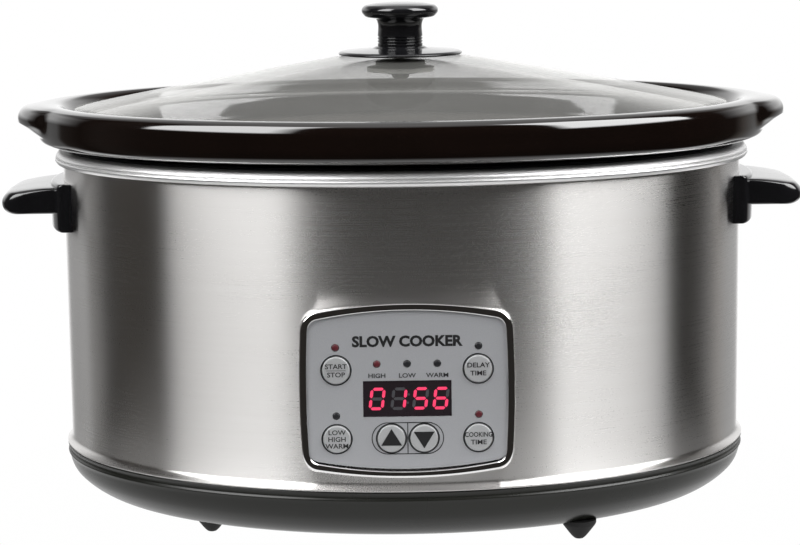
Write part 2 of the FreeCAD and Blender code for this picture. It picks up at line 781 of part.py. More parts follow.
def make_fascia():
    fascia = opening_plate(0.1, fascia_front, fascia_back)
    for x, z in bosses:
        fascia = fascia.fuse(pin(2.6, x, z, fascia_back, board_front))
        fascia = fascia.cut(pin(1.0, x, z, fascia_back + 0.5, board_front))
    for x, z in buttons.values():
        fascia = fascia.cut(pin(button_radius + button_gap, x, z, fascia_front - 1, fascia_back + 1))
    for x, z in lights:
        fascia = fascia.cut(pin(light_radius + 0.1, x, z, fascia_front - 1, fascia_back + 1))
    opening = box(-window_half, window_half, fascia_front - 1, fascia_back + 1, window_low, window_high)
    return fascia.cut(opening)


def make_panel_box():
    wall = box_wall
    outer = box(-box_half, box_half, fascia_back, -box_back, box_low, box_high)
    outer = outer.makeFillet(box_corner, edges_along_y(outer))
    side = box_half - wall
    inner = box(-side, side, fascia_back - 1, -box_back - wall, box_low + wall, box_high - wall)
    inner = inner.makeFillet(box_corner - wall, edges_along_y(inner))
    left = ribbon_x - ribbon_half - 1
    right = ribbon_x + ribbon_half + 1
    slot = box(left, right, -box_back - wall - 1, -box_back + 1, ribbon_exit - 1.5, ribbon_exit + 1.5)
    return outer.cut(inner).cut(slot)


def make_control_board():
    edge = box_wall + 1.5
    board = box(-box_half + edge, box_half - edge, board_front, board_back, box_low + edge, box_high - edge)
    board = board.makeFillet(box_corner - edge + 1, edges_along_y(board))
    for x, z in bosses:
        board = board.cut(pin(1.2, x, z, board_front - 1, board_back + 1))
    return board


def make_button(x, z):
    rim_front = fascia_back + fit
    cap = pin(button_radius, x, z, fascia_front - button_proud, rim_front)
    rim = pin(button_radius + button_rim, x, z, rim_front, rim_front + 0.8)
    stem = pin(2.0, x, z, rim_front + 0.8, switch_front() - button_travel - 0.1)
    return cap.fuse(rim).fuse(stem)


def switch_front():
    return board_front - 3.5


def make_switches():
    switches = []
    for x, z in buttons.values():
        switches.append(box(x - 3, x + 3, switch_front(), board_front, z - 3, z + 3))
    return Part.makeCompound(switches)


def make_panel_screws():
    screws = []
    for x, z in bosses:
        head = pin(2.2, x, z, board_back, board_back + 1.2)
        screws.append(head.fuse(pin(1.0, x, z, board_front - 4, board_back)))
    return Part.makeCompound(screws)


pieces["panel_frame"] = make_bezel()
pieces["panel_fascia"] = make_fascia()
pieces["panel_box"] = make_panel_box()
pieces["control_board"] = make_control_board()
pieces["display_window"] = box(-window_half + 0.1, window_half - 0.1, fascia_front + 0.2, fascia_back,
                               window_low + 0.1, window_high - 0.1)
pieces["display_module"] = box(-window_half - 2, window_half + 2, fascia_back + 0.1, board_front,
                               window_low - 1, window_high + 1)
light_pins = [pin(light_radius, x, z, fascia_front - 0.2, board_front) for x, z in lights]
pieces["indicator_lights"] = Part.makeCompound(light_pins)
pieces["button_switches"] = make_switches()
pieces["panel_screws"] = make_panel_screws()
for name, place in buttons.items():
    pieces["button_" + name] = make_button(*place)

for name, solid in pieces.items():
    solid.exportStep("parts/" + name + ".step")
    print(name, len(solid.Solids), "solids", round(solid.Volume / 1000, 2), "cm3", solid.isValid())
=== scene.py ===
import math
import bmesh
import bpy
import numpy as np
from mathutils import Matrix, Vector


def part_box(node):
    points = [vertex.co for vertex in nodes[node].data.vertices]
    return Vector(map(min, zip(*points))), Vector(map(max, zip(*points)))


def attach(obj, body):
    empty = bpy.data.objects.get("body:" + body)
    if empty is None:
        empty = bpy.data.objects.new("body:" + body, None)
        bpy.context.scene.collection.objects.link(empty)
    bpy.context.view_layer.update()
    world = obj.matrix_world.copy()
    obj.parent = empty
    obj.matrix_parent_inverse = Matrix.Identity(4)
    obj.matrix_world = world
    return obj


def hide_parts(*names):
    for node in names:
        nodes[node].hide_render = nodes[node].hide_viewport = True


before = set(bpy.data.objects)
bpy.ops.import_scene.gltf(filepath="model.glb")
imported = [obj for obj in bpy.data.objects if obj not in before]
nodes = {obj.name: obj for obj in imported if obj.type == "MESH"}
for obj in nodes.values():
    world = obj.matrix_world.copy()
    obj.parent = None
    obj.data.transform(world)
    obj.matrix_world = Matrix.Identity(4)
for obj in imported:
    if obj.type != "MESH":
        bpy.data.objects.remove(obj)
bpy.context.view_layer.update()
mm = 0.001
print("frame loaded", len(nodes), "nodes")

# The oval of the steel sleeve, and from the frame the boxes whose corners the pieces share.
sleeveLow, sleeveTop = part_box("outer_sleeve")
ovalX = 177.0 * mm
ovalY = 130.0 * mm
ringLow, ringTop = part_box("trim_ring")
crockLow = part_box("crock")[0]
lidLow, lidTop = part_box("lid_glass")
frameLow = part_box("panel_frame")[0]
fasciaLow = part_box("panel_fascia")[0]


# Surfaces

# Rounds each corner (a, b, ..., radius) of a chain: two points at the distance radius along its
# sides and a parabola between them, P(s) = (1-s)^2 A + 2 s (1-s) corner + s^2 B.
def rounded(corners, closed=True, steps=6):
    rows = np.array(corners, float)
    points = rows[:, :-1]
    radii = rows[:, -1]
    count = len(points)
    chain = []
    for i in range(count):
        here = points[i]
        ends = not closed and i in (0, count - 1)
        if radii[i] <= 0 or ends:
            chain.append(here[None, :])
            continue
        before = points[i - 1] - here
        after = points[(i + 1) % count] - here
        lengthBefore = np.linalg.norm(before)
        lengthAfter = np.linalg.norm(after)
        reach = min(radii[i], 0.48 * lengthBefore, 0.48 * lengthAfter)
        start = here + before / lengthBefore * reach
        stop = here + after / lengthAfter * reach
        s = np.linspace(0, 1, steps + 1)[:, None]
        chain.append((1 - s) ** 2 * start + 2 * s * (1 - s) * here + s ** 2 * stop)
    return np.vstack(chain)


# Adds points so that no step of a chain is longer than the given length.
def refined(chain, longest, closed=True):
    ends = np.roll(chain, -1, axis=0) if closed else chain[1:]
    starts = chain if closed else chain[:-1]
    parts = []
    for a, b in zip(starts, ends):
        pieces = max(1, int(math.ceil(np.linalg.norm(b - a) / longest)))
        s = np.arange(pieces)[:, None] / pieces
        parts.append(a + (b - a) * s)
    if not closed:
        parts.append(chain[-1:])
    return np.vstack(parts)


# Quads of a grid of rows x columns points, wrapped round where closed.
def gridFaces(rows, columns, wrapRows, wrapColumns):
    index = np.arange(rows * columns).reshape(rows, columns)
    lastRow = rows if wrapRows else rows - 1
    lastColumn = columns if wrapColumns else columns - 1
    i = np.arange(lastRow)[:, None]
    j = np.arange(lastColumn)[None, :]
    corners = [index[i, j], index[(i + 1) % rows, j]]
    corners += [index[(i + 1) % rows, (j + 1) % columns], index[i, (j + 1) % columns]]
    return np.stack([c.ravel() for c in corners], axis=1)


def signedVolume(mesh):
    mesh.calc_loop_triangles()
    co = np.empty(len(mesh.vertices) * 3)
    mesh.vertices.foreach_get("co", co)
    tri = np.empty(len(mesh.loop_triangles) * 3, int)
    mesh.loop_triangles.foreach_get("vertices", tri)
    a, b, c = co.reshape(-1, 3)[tri.reshape(-1, 3)].transpose(1, 0, 2)
    return float(np.einsum("ij,ij->i", a, np.cross(b, c)).sum() / 6)


# Turns arrays of points and faces into one closed mesh: doubles merged, faces outwards.
def meshOf(name, points, faces, sharp=35):
    mesh = bpy.data.meshes.new(name)
    mesh.from_pydata(np.asarray(points).reshape(-1, 3).tolist(), [], [list(f) for f in faces])
    work = bmesh.new()
    work.from_mesh(mesh)
    bmesh.ops.remove_doubles(work, verts=work.verts, dist=1e-6)
    flat = [f for f in work.faces if f.calc_area() < 1e-13]
    bmesh.ops.delete(work, geom=flat, context="FACES_ONLY")
    bmesh.ops.recalc_face_normals(work, faces=work.faces)
    work.to_mesh(mesh)
    work.free()
    if signedVolume(mesh) < 0:
        mesh.flip_normals()
    mesh.shade_smooth()
    mesh.set_sharp_from_angle(angle=math.radians(sharp))
    return mesh


def joined(groups):
    points = []
    faces = []
    count = 0
    for somePoints, someFaces in groups:
        flat = np.asarray(somePoints).reshape(-1, 3)
        points.append(flat)
        faces += [[int(v) + count for v in face] for face in someFaces]
        count += len(flat)
    return np.vstack(points), faces


# Puts a mesh in the scene on a body, standing for CAD nodes, with its material.
def place(mesh, body, material, replaced=()):
    piece = bpy.data.objects.new(mesh.name, mesh)
    bpy.context.scene.collection.objects.link(piece)
    mesh.materials.clear()
    mesh.materials.append(material)
    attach(piece, body)
    if replaced:
        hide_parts(*replaced)
    return piece


# Makes a piece's modifiers permanent and marks its sharp edges.
def settle(piece, name, sharp):
    graph = bpy.context.evaluated_depsgraph_get()
    result = bpy.data.meshes.new_from_object(piece.evaluated_get(graph))
    piece.modifiers.clear()
    result.name = name
    piece.data = result
    result.set_sharp_from_angle(angle=math.radians(sharp))


# Oval sweep: P(a, s) = (x(s) cos a, y(s) sin a, z(s)) for a closed loop of (x, y, z) rows.
def ovalSweep(loop, steps=288):
    a = np.arange(steps) * 2 * math.pi / steps
    x = loop[None, :, 0] * np.cos(a)[:, None]
    y = loop[None, :, 1] * np.sin(a)[:, None]
    z = np.broadcast_to(loop[None, :, 2], x.shape)
    return np.stack([x, y, z], axis=2), gridFaces(steps, len(loop), True, True)


# Rows (growth, z, radius) about an oval become rows (x, y, z, radius); share scales Y growth.
def grown(rows, halfX, halfY, share=1.0):
    return [(halfX + g * mm, halfY + share * g * mm, z * mm, r * mm) for g, z, r in rows]


# Turned body: P(a, s) = (r(s) cos a, r(s) sin a, z(s)) for an open chain (r, z) from axis to axis.
def turned(chain, steps=64):
    a = np.arange(steps) * 2 * math.pi / steps
    x = chain[None, :, 0] * np.cos(a)[:, None]
    y = chain[None, :, 0] * np.sin(a)[:, None]
    z = np.broadcast_to(chain[None, :, 1], x.shape)
    return np.stack([x, y, z], axis=2), gridFaces(steps, len(chain), True, False)


# The sleeve's surface: y on the front of the oval at an x, grown by a distance.
def sleeveFront(x, growth=0.0):
    ratio = np.clip(np.asarray(x) / (ovalX + growth), -1, 1)
    return -(ovalY + growth) * np.sqrt(1 - ratio ** 2)


# Materials

# A number socket that can be used in sums; each operation adds one Math node.
class Signal:
    def __init__(self, maker, socket):
        self.maker = maker
        self.socket = socket

    def join(self, operation, other, swap=False):
        pair = {0: other, 1: self} if swap else {0: self, 1: other}
        node = self.maker.add("ShaderNodeMath", {"operation": operation}, pair)
        return Signal(self.maker, node.outputs[0])

    def __add__(self, other):
        return self.join("ADD", other)

    def __radd__(self, other):
        return self.join("ADD", other, True)

    def __sub__(self, other):
        return self.join("SUBTRACT", other)

    def __rsub__(self, other):
        return self.join("SUBTRACT", other, True)

    def __mul__(self, other):
        return self.join("MULTIPLY", other)

    def __rmul__(self, other):
        return self.join("MULTIPLY", other, True)

    def __truediv__(self, other):
        return self.join("DIVIDE", other)

    def __gt__(self, other):
        return self.join("GREATER_THAN", other)

    def __lt__(self, other):
        return self.join("LESS_THAN", other)

    # 0 below low, 1 above high, straight between
    def between(self, low, high):
        settings = {"clamp": True}
        node = self.maker.add("ShaderNodeMapRange", settings, {0: self, 1: low, 2: high, 3: 0.0, 4: 1.0})
        return Signal(self.maker, node.outputs[0])


class Maker:
    def __init__(self, tree):
        self.tree = tree
        tree.nodes.clear()

    # Links a socket to another one, or writes a plain value in it.
    def feed(self, socket, value):
        if isinstance(value, Signal):
            value = value.socket
        if isinstance(value, bpy.types.NodeSocket):
            self.tree.links.new(value, socket)
        else:
            socket.default_value = value

    # One node: its type, its settings first, then the values or links of its sockets.
    def add(self, kind, settings=None, sockets=None):
        node = self.tree.nodes.new(kind)
        for key, value in (settings or {}).items():
            if key == "stops":
                ramp = node.color_ramp
                while len(ramp.elements) < len(value):
                    ramp.elements.new(0.5)
                for element, (position, colour) in zip(ramp.elements, value):
                    element.position = position
                    element.color = (*colour, 1)
            else:
                setattr(node, key, value)
        for key, value in (sockets or {}).items():
            self.feed(node.inputs[key], value)
        return node

    # Object coordinates stretched by a factor for each axis
    def spot(self, stretch=(1, 1, 1)):
        source = self.add("ShaderNodeTexCoord").outputs["Object"]
        node = self.add("ShaderNodeVectorMath", {"operation": "MULTIPLY"}, {0: source, 1: stretch})
        return node.outputs[0]

    def noise(self, scale, detail=2.0, stretch=(1, 1, 1), rough=0.5):
        sockets = {"Vector": self.spot(stretch), "Scale": scale, "Detail": detail, "Roughness": rough}
        return Signal(self, self.add("ShaderNodeTexNoise", None, sockets).outputs["Fac"])

    def cells(self, scale, stretch=(1, 1, 1)):
        sockets = {"Vector": self.spot(stretch), "Scale": scale}
        return Signal(self, self.add("ShaderNodeTexVoronoi", None, sockets).outputs["Distance"])

    def axis(self, name):
        node = self.add("ShaderNodeSeparateXYZ", None, {0: self.spot()})
        return Signal(self, node.outputs[name])

    # first where the factor is 0, second where it is 1
    def blend(self, factor, first, second):
        node = self.add("ShaderNodeMix", {"data_type": "RGBA"})
        self.feed([s for s in node.inputs if s.type == "VALUE"][0], factor)
        colours = [s for s in node.inputs if s.type == "RGBA"]
        for socket, value in zip(colours, (first, second)):
            self.feed(socket, (*value, 1) if isinstance(value, tuple) else value)
        return [s for s in node.outputs if s.type == "RGBA"][0]

    def bump(self, height, strength, depth):
        sockets = {"Height": height, "Strength": strength, "Distance": depth}
        return self.add("ShaderNodeBump", None, sockets).outputs[0]


# A material from a function that returns what its principled shader takes.
def finish(name, recipe):
    material = bpy.data.materials.new(name)
    material.use_nodes = True
    maker = Maker(material.node_tree)
    shader = maker.add("ShaderNodeBsdfPrincipled", None, recipe(maker))
    maker.add("ShaderNodeOutputMaterial", None, {"Surface": shader.outputs[0]})
    return material


def brushedSteel(m):
    streak = m.noise(1.0, 3.0, (22, 22, 2600), 0.6)
    broad = m.noise(1.0, 2.0, (7, 7, 240), 0.5)
    cloud = m.noise(14.0, 2.0)
    colour = m.blend(streak * 0.5 + broad * 0.5, (0.66, 0.645, 0.63), (0.72, 0.71, 0.70))
    grain = m.noise(2600.0, 1.0)
    rough = 0.25 + streak * 0.015 + cloud * 0.02 + grain * 0.02
    normal = m.bump(streak * 0.3 + grain * 0.7, 0.015, 0.00002)
    return {"Base Color": colour, "Metallic": 1.0, "Roughness": rough, "Normal": normal,
            "Anisotropic": 1.0, "Anisotropic Rotation": 0.25}


def polishedSteel(m):
    mark = m.noise(1.0, 3.0, (60, 60, 900))
    haze = m.noise(40.0, 2.0)
    colour = m.blend(haze, (0.82, 0.82, 0.82), (0.90, 0.90, 0.90))
    return {"Base Color": colour, "Metallic": 1.0, "Roughness": 0.40 + mark * 0.06,
            "Normal": m.bump(mark, 0.04, 0.0001)}


def chrome(m):
    haze = m.noise(90.0, 3.0)
    scratch = m.noise(1.0, 2.0, (1500, 1500, 120))
    colour = m.blend(haze, (0.78, 0.77, 0.77), (0.88, 0.87, 0.87))
    return {"Base Color": colour, "Metallic": 1.0, "Roughness": 0.04 + scratch * 0.05,
            "Normal": m.bump(haze, 0.03, 0.0001)}


def aluminium(m):
    ring = m.noise(1.0, 2.0, (30, 30, 700))
    stain = m.noise(25.0, 4.0)
    colour = m.blend(stain, (0.58, 0.58, 0.57), (0.72, 0.72, 0.71))
    return {"Base Color": colour, "Metallic": 1.0, "Roughness": 0.3 + ring * 0.16 + stain * 0.06,
            "Normal": m.bump(ring, 0.12, 0.0002)}


def zincSteel(m):
    spangle = m.cells(420.0)
    grime = m.noise(120.0, 4.0)
    colour = m.blend(spangle, (0.46, 0.47, 0.48), (0.62, 0.63, 0.64))
    return {"Base Color": colour, "Metallic": 1.0, "Roughness": 0.28 + grime * 0.2,
            "Normal": m.bump(grime, 0.1, 0.0001)}


def darkGlaze(m):
    pool = m.noise(26.0, 4.0)
    speck = m.cells(900.0)
    ripple = m.noise(40.0, 2.0)
    height = m.axis("Z")
    # Painted highlight: the glaze below the collar's lower edge is half blended to a pale brown, fading out
    # by 193.8 mm, standing in for light caught on the lower bevel.
    bevelGlint = 1 - height.between(0.1915, 0.1938)
    body = m.blend(pool, (0.0022, 0.0011, 0.0008), (0.0055, 0.0026, 0.0018))
    dusted = m.blend((speck < 0.12) * pool, body, (0.03, 0.02, 0.015))
    colour = m.blend(bevelGlint * 0.5, dusted, (0.11, 0.10, 0.09))
    return {"Base Color": colour, "Roughness": 0.05 + pool * 0.04, "IOR": 1.6, "Coat Weight": 0.7,
            "Coat Roughness": 0.03, "Normal": m.bump(ripple, 0.03, 0.001)}


def lidGlass(m):
    wave = m.noise(16.0, 2.0)
    smear = m.noise(38.0, 4.0)
    facing = Signal(m, m.add("ShaderNodeLayerWeight", None, {"Blend": 0.5}).outputs["Facing"])
    # Painted reflection: towards grazing angles the glass colour turns pale and less see-through, standing in
    # for the light the glass reflects there.
    grazingGlare = facing.between(0.76, 0.90)
    clear = m.blend(smear, (0.29, 0.29, 0.275), (0.34, 0.34, 0.325))
    colour = m.blend(grazingGlare, clear, (0.74, 0.74, 0.71))
    return {"Base Color": colour, "Roughness": 0.03 + smear * 0.02, "IOR": 1.9,
            "Alpha": 0.15 + smear * 0.04 + grazingGlare * 0.36, "Normal": m.bump(wave, 0.02, 0.0008)}


def blackPlastic(m):
    grain = m.noise(1400.0, 2.0)
    wear = m.noise(45.0, 5.0)
    colour = m.blend(wear, (0.004, 0.004, 0.005), (0.009, 0.009, 0.010))
    return {"Base Color": colour, "Roughness": 0.09 + wear * 0.07, "Coat Weight": 0.4,
            "Coat Roughness": 0.05, "Normal": m.bump(grain, 0.015, 0.0001)}


def basePlastic(m):
    grain = m.cells(1500.0)
    flow = m.noise(20.0, 3.0)
    colour = m.blend(flow, (0.006, 0.0063, 0.005), (0.010, 0.0104, 0.0085))
    return {"Base Color": colour, "Roughness": 0.24 + flow * 0.06, "IOR": 1.4,
            "Normal": m.bump(grain, 0.04, 0.0002)}


def innerPlastic(m):
    grain = m.cells(1100.0)
    flow = m.noise(60.0, 3.0)
    colour = m.blend(flow, (0.10, 0.10, 0.10), (0.15, 0.15, 0.15))
    return {"Base Color": colour, "Roughness": 0.5 + flow * 0.1, "Normal": m.bump(grain, 0.1, 0.0002)}


def rubber(m):
    grain = m.noise(1800.0, 3.0)
    dust = m.noise(110.0, 4.0)
    colour = m.blend(dust, (0.004, 0.004, 0.004), (0.010, 0.010, 0.010))
    return {"Base Color": colour, "Roughness": 0.6 + dust * 0.2, "IOR": 1.35,
            "Normal": m.bump(grain, 0.15, 0.0002)}


def silicone(m):
    cloud = m.noise(150.0, 3.0)
    grain = m.noise(1200.0, 2.0)
    colour = m.blend(cloud, (0.62, 0.62, 0.58), (0.74, 0.74, 0.70))
    return {"Base Color": colour, "Roughness": 0.4 + cloud * 0.1, "Normal": m.bump(grain, 0.08, 0.0002)}


def silverFilm(m):
    flake = m.cells(2600.0)
    cloud = m.noise(35.0, 3.0)
    colour = m.blend(flake * 0.7 + cloud * 0.3, (0.265, 0.27, 0.28), (0.325, 0.33, 0.345))
    return {"Base Color": colour, "Metallic": 0.15, "Roughness": 0.36 + cloud * 0.08,
            "Normal": m.bump(flake, 0.04, 0.0001)}


def silverCap(m):
    flake = m.cells(3000.0)
    cloud = m.noise(90.0, 3.0)
    colour = m.blend(flake * 0.6 + cloud * 0.4, (0.29, 0.295, 0.30), (0.37, 0.375, 0.38))
    return {"Base Color": colour, "Metallic": 0.15, "Roughness": 0.32 + cloud * 0.1,
            "Normal": m.bump(flake, 0.05, 0.0001)}


def darkLens(m):
    haze = m.noise(70.0, 3.0)
    grain = m.noise(900.0, 2.0)
    colour = m.blend(haze, (0.010, 0.008, 0.010), (0.020, 0.014, 0.017))
    return {"Base Color": colour, "Roughness": 0.16 + grain * 0.06, "Normal": m.bump(grain, 0.02, 0.0001)}


def litSegment(m):
    glow = m.noise(520.0, 2.0)
    colour = m.blend(glow, (0.78, 0.02, 0.09), (0.9, 0.07, 0.17))
    return {"Base Color": (0.3, 0.02, 0.05, 1), "Roughness": 0.4, "Emission Color": colour,
            "Emission Strength": 0.9}


def restSegment(m):
    haze = m.noise(400.0, 2.0)
    colour = m.blend(haze, (0.035, 0.035, 0.04), (0.055, 0.055, 0.06))
    return {"Base Color": colour, "Roughness": 0.4 + haze * 0.1}


def redLens(m):
    haze = m.noise(600.0, 3.0)
    colour = m.blend(haze, (0.055, 0.008, 0.012), (0.10, 0.014, 0.02))
    return {"Base Color": colour, "Roughness": 0.34 + haze * 0.1}


def blackLens(m):
    haze = m.noise(600.0, 3.0)
    colour = m.blend(haze, (0.006, 0.006, 0.008), (0.014, 0.014, 0.016))
    return {"Base Color": colour, "Roughness": 0.34 + haze * 0.1}


def blackInk(m):
    edge = m.noise(900.0, 3.0)
    colour = m.blend(edge, (0.002, 0.002, 0.0025), (0.007, 0.007, 0.008))
    return {"Base Color": colour, "Roughness": 0.42 + edge * 0.15}


def circuitBoard(m):
    track = m.noise(1.0, 1.0, (90, 420, 420))
    weave = m.noise(1400.0, 2.0)
    lines = (track > 0.56) * 0.6
    colour = m.blend(lines, (0.012, 0.085, 0.03), (0.03, 0.17, 0.06))
    return {"Base Color": colour, "Roughness": 0.34 + weave * 0.15, "Normal": m.bump(track, 0.15, 0.0001)}


def felt(m):
    fibre = m.noise(700.0, 5.0, (1, 1, 2.5), 0.7)
    lump = m.noise(60.0, 3.0)
    colour = m.blend(fibre, (0.62, 0.61, 0.57), (0.86, 0.85, 0.81))
    return {"Base Color": colour, "Roughness": 0.85 + lump * 0.1, "Normal": m.bump(fibre + lump, 0.5, 0.0008)}


def mica(m):
    flake = m.cells(240.0)
    layer = m.noise(1.0, 3.0, (40, 40, 500))
    colour = m.blend(flake, (0.30, 0.24, 0.15), (0.52, 0.44, 0.30))
    return {"Base Color": colour, "Roughness": 0.35 + layer * 0.2, "Normal": m.bump(layer, 0.2, 0.0002)}


def leadSleeve(m):
    braid = m.noise(900.0, 2.0, (1, 1, 1))
    tone = m.noise(70.0, 2.0)
    colour = m.blend(tone, (0.50, 0.48, 0.44), (0.66, 0.63, 0.58))
    return {"Base Color": colour, "Roughness": 0.5 + braid * 0.2, "Normal": m.bump(braid, 0.2, 0.0002)}


def whiteCeramic(m):
    pit = m.cells(900.0)
    tone = m.noise(120.0, 3.0)
    colour = m.blend(tone, (0.74, 0.73, 0.69), (0.88, 0.87, 0.84))
    return {"Base Color": colour, "Roughness": 0.55 + tone * 0.15, "Normal": m.bump(pit, 0.1, 0.0002)}


def paleFloor(m):
    cloud = m.noise(6.0, 2.0)
    colour = m.blend(cloud, (0.995, 0.995, 0.995), (1.0, 1.0, 1.0))
    return {"Base Color": (0, 0, 0, 1), "Roughness": 0.9 + cloud * 0.05, "Emission Color": colour,
            "Emission Strength": 1.0, "Specular IOR Level": 0.0}


recipes = [brushedSteel, polishedSteel, chrome, aluminium, zincSteel, darkGlaze, lidGlass, blackPlastic]
recipes += [basePlastic, innerPlastic, rubber, silicone, silverFilm, silverCap, darkLens, litSegment]
recipes += [restSegment, redLens, blackLens, blackInk, circuitBoard, felt, mica, leadSleeve]
recipes += [whiteCeramic, paleFloor]
finishes = {recipe.__name__: finish(recipe.__name__, recipe) for recipe in recipes}
print("materials made", len(finishes))


# Sleeve and trim ring

sleeve = {"sheet": 0.8, "flare": 2.6, "flareHeight": 3.4, "rows": 12, "steps": 360, "clear": 0.3,
          "curve": 13}


# P(a, s) = ((ovalX + g) cos a, (ovalY + g) sin a, z) along an open chain: the flared foot,
# g = flare (1 - s)^2, and the straight wall. Faces over the panel opening are left out, then
# the sheet is thickened inwards.
def makeSleeve():
    gapLow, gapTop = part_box("panel_box")
    clear = sleeve["clear"] * mm
    edge = gapTop.x + clear
    low = sleeveLow.z / mm
    share = np.linspace(0, 1, sleeve["curve"])
    chain = [(sleeve["flare"] * (1 - t) ** 2, low + 0.8 + sleeve["flareHeight"] * t) for t in share]
    chain = [(sleeve["flare"] - 0.25, low), (sleeve["flare"], low + 0.35)] + chain
    levels = np.linspace(chain[-1][1], sleeveTop.z / mm, sleeve["rows"])[1:]
    windows = [(gapLow.z - clear) / mm, (gapTop.z + clear) / mm]
    levels = np.unique(np.concatenate([levels, windows]))
    rows = np.array(chain + [(0.0, z) for z in levels]) * mm
    a = np.arange(sleeve["steps"]) * 2 * math.pi / sleeve["steps"]
    side = math.acos(edge / ovalX)
    a = np.unique(np.concatenate([a, [2 * math.pi - side, math.pi + side]]))
    x = (ovalX + rows[None, :, 0]) * np.cos(a)[:, None]
    y = (ovalY + rows[None, :, 0]) * np.sin(a)[:, None]
    z = np.broadcast_to(rows[None, :, 1], x.shape)
    points = np.stack([x, y, z], axis=2).reshape(-1, 3)
    faces = gridFaces(len(a), len(rows), True, False)
    middle = points[faces].mean(axis=1)
    inGap = (np.abs(middle[:, 0]) < edge) & (middle[:, 1] < 0)
    inGap &= (middle[:, 2] > gapLow.z - clear) & (middle[:, 2] < gapTop.z + clear)
    mesh = bpy.data.meshes.new("sleeveShell")
    mesh.from_pydata(points.tolist(), [], faces[~inGap].tolist())
    mesh.shade_smooth()
    piece = place(mesh, "housing", finishes["brushedSteel"], ["outer_sleeve"])
    wall = piece.modifiers.new("wall", "SOLIDIFY")
    wall.thickness = sleeve["sheet"] * mm
    wall.offset = -1.0
    settle(piece, "sleeveSheet", 35)
    return piece


ring = {"inset": 3.5, "bulge": 4.2}


def makeRing():
    low = ringLow.z / mm
    high = ringTop.z / mm
    middle = (low + high) / 2
    out = ring["bulge"]
    rows = [(0.2, low, 0.3), (out - 1.2, low + 0.5, 1.0), (out, middle - 1.3, 0.8)]
    rows += [(out - 0.3, middle - 0.3, 0.4), (out - 1.0, middle - 0.05, 0.15)]
    rows += [(out - 0.5, middle + 0.3, 0.3), (out - 0.7, middle + 1.4, 0.8), (out - 2.2, high - 0.3, 1.2)]
    rows += [(0.0, high, 1.0), (-ring["inset"], high, 0.6), (-ring["inset"], low, 0)]
    loop = rounded(grown(rows, ovalX, ovalY))
    mesh = meshOf("trimRing", *ovalSweep(loop))
    return place(mesh, "housing", finishes["polishedSteel"], ["trim_ring"])


makeSleeve()
makeRing()
print("sleeve and ring made")


# Base

base = {"floor": 7.0, "inset": 28.0, "wall": 2.5, "top": 33.6, "vents": 7, "ventPitch": 14.0,
        "ventWidth": 3.0, "ventLength": 26.0, "ventIn": 68.0, "ventCut": (2.0, 14.0),
        "lip": 3.8, "lipOut": -1.4, "lipIn": -4.0}
baseOutline = [(-21.0, 25.6, 8), (-15.0, 23.8, 6), (-10.4, 21.4, 6), (-6.6, 18.8, 6), (-3.4, 16.0, 5),
               (-1.2, 13.6, 4), (0.3, 11.0, 3), (1.2, 8.2, 3), (1.7, 5.8, 0.8), (2.5, 4.4, 0.5),
               (2.4, 3.9, 0.3), (1.7, 3.0, 0.6), (1.8, 1.4, 0.6), (2.6, 0.4, 0.3), (2.3, 0.0, 0.2)]


# One closed loop about the oval: floor, bowl, ridge, band, lip and back down the inside, swept
# round with Y growth in proportion to X growth.
def makeBase():
    share = ovalY / ovalX
    top = base["top"]
    rows = [(-170, base["floor"], 0), (-base["inset"], base["floor"], 8)]
    rows += [(growth, top - drop, radius) for growth, drop, radius in baseOutline]
    wall = base["wall"]
    lip = top + base["lip"]
    rows += [(base["lipOut"], top, 0.3), (base["lipOut"], lip, 0.4), (base["lipIn"], lip, 0.4)]
    for growth, drop, radius in baseOutline[5::-1]:
        rows.append((min(growth - wall, base["lipIn"]), top - drop + wall, radius))
    rows += [(-base["inset"] - wall, base["floor"] + wall, 4), (-170, base["floor"] + wall, 0)]
    loop = rounded(grown(rows, ovalX, ovalY, share))
    mesh = meshOf("baseTub", *ovalSweep(loop), sharp=50)
    piece = place(mesh, "housing", finishes["basePlastic"], ["base_housing"])
    cutVents(piece)
    return piece


def boxGroup(low, high):
    x, y, z = zip(low, high)
    points = [(x[i], y[j], z[k]) for i in (0, 1) for j in (0, 1) for k in (0, 1)]
    faces = [(0, 1, 3, 2), (4, 6, 7, 5), (0, 4, 5, 1), (2, 3, 7, 6), (0, 2, 6, 4), (1, 5, 7, 3)]
    return np.array(points), faces


def cutVents(piece):
    groups = []
    half = np.array([base["ventWidth"], base["ventLength"]]) * mm / 2
    low, high = (level * mm for level in base["ventCut"])
    for side in (-1, 1):
        for step in range(base["vents"]):
            across = (step - (base["vents"] - 1) / 2) * base["ventPitch"] * mm
            middle = np.array([across, side * (ovalY - base["ventIn"] * mm)])
            groups.append(boxGroup((*(middle - half), low), (*(middle + half), high)))
    cutter = bpy.data.objects.new("ventCutter", meshOf("ventCutter", *joined(groups)))
    bpy.context.scene.collection.objects.link(cutter)
    cut = piece.modifiers.new("vents", "BOOLEAN")
    cut.operation = "DIFFERENCE"
    cut.solver = "EXACT"
    cut.object = cutter
    settle(piece, "baseTubCut", 50)
    bpy.data.objects.remove(cutter)


# Each diagonal pair stands alike, (x, y) in from the oval's ends and sides.
foot = {"wide": (78.0, 56.0), "near": (92.0, 33.0), "steps": 40}
footOutline = [(0, 0, 0), (2.0, 0, 0.8), (3.6, 1.4, 1.4), (6.4, 5.0, 2.0), (8.6, 8.0, 1), (8.6, 10, 0)]
footPlaces = {"front_left": ("wide", -1, -1), "front_right": ("near", 1, -1),
              "rear_left": ("near", -1, 1), "rear_right": ("wide", 1, 1)}


def makeFeet():
    for corner, (pair, right, back) in footPlaces.items():
        inX, inY = foot[pair]
        middle = [right * (ovalX - inX * mm), back * (ovalY - inY * mm), 0]
        rows = footOutline + [(0, footOutline[-1][1], 0)]
        points, faces = turned(rounded(rows, False) * mm, foot["steps"])
        mesh = meshOf("foot" + corner.title().replace("_", ""), points + np.array(middle), faces)
        place(mesh, "housing", finishes["rubber"], ["foot_" + corner])


makeBase()
makeFeet()
print("base and feet made")


# Crock

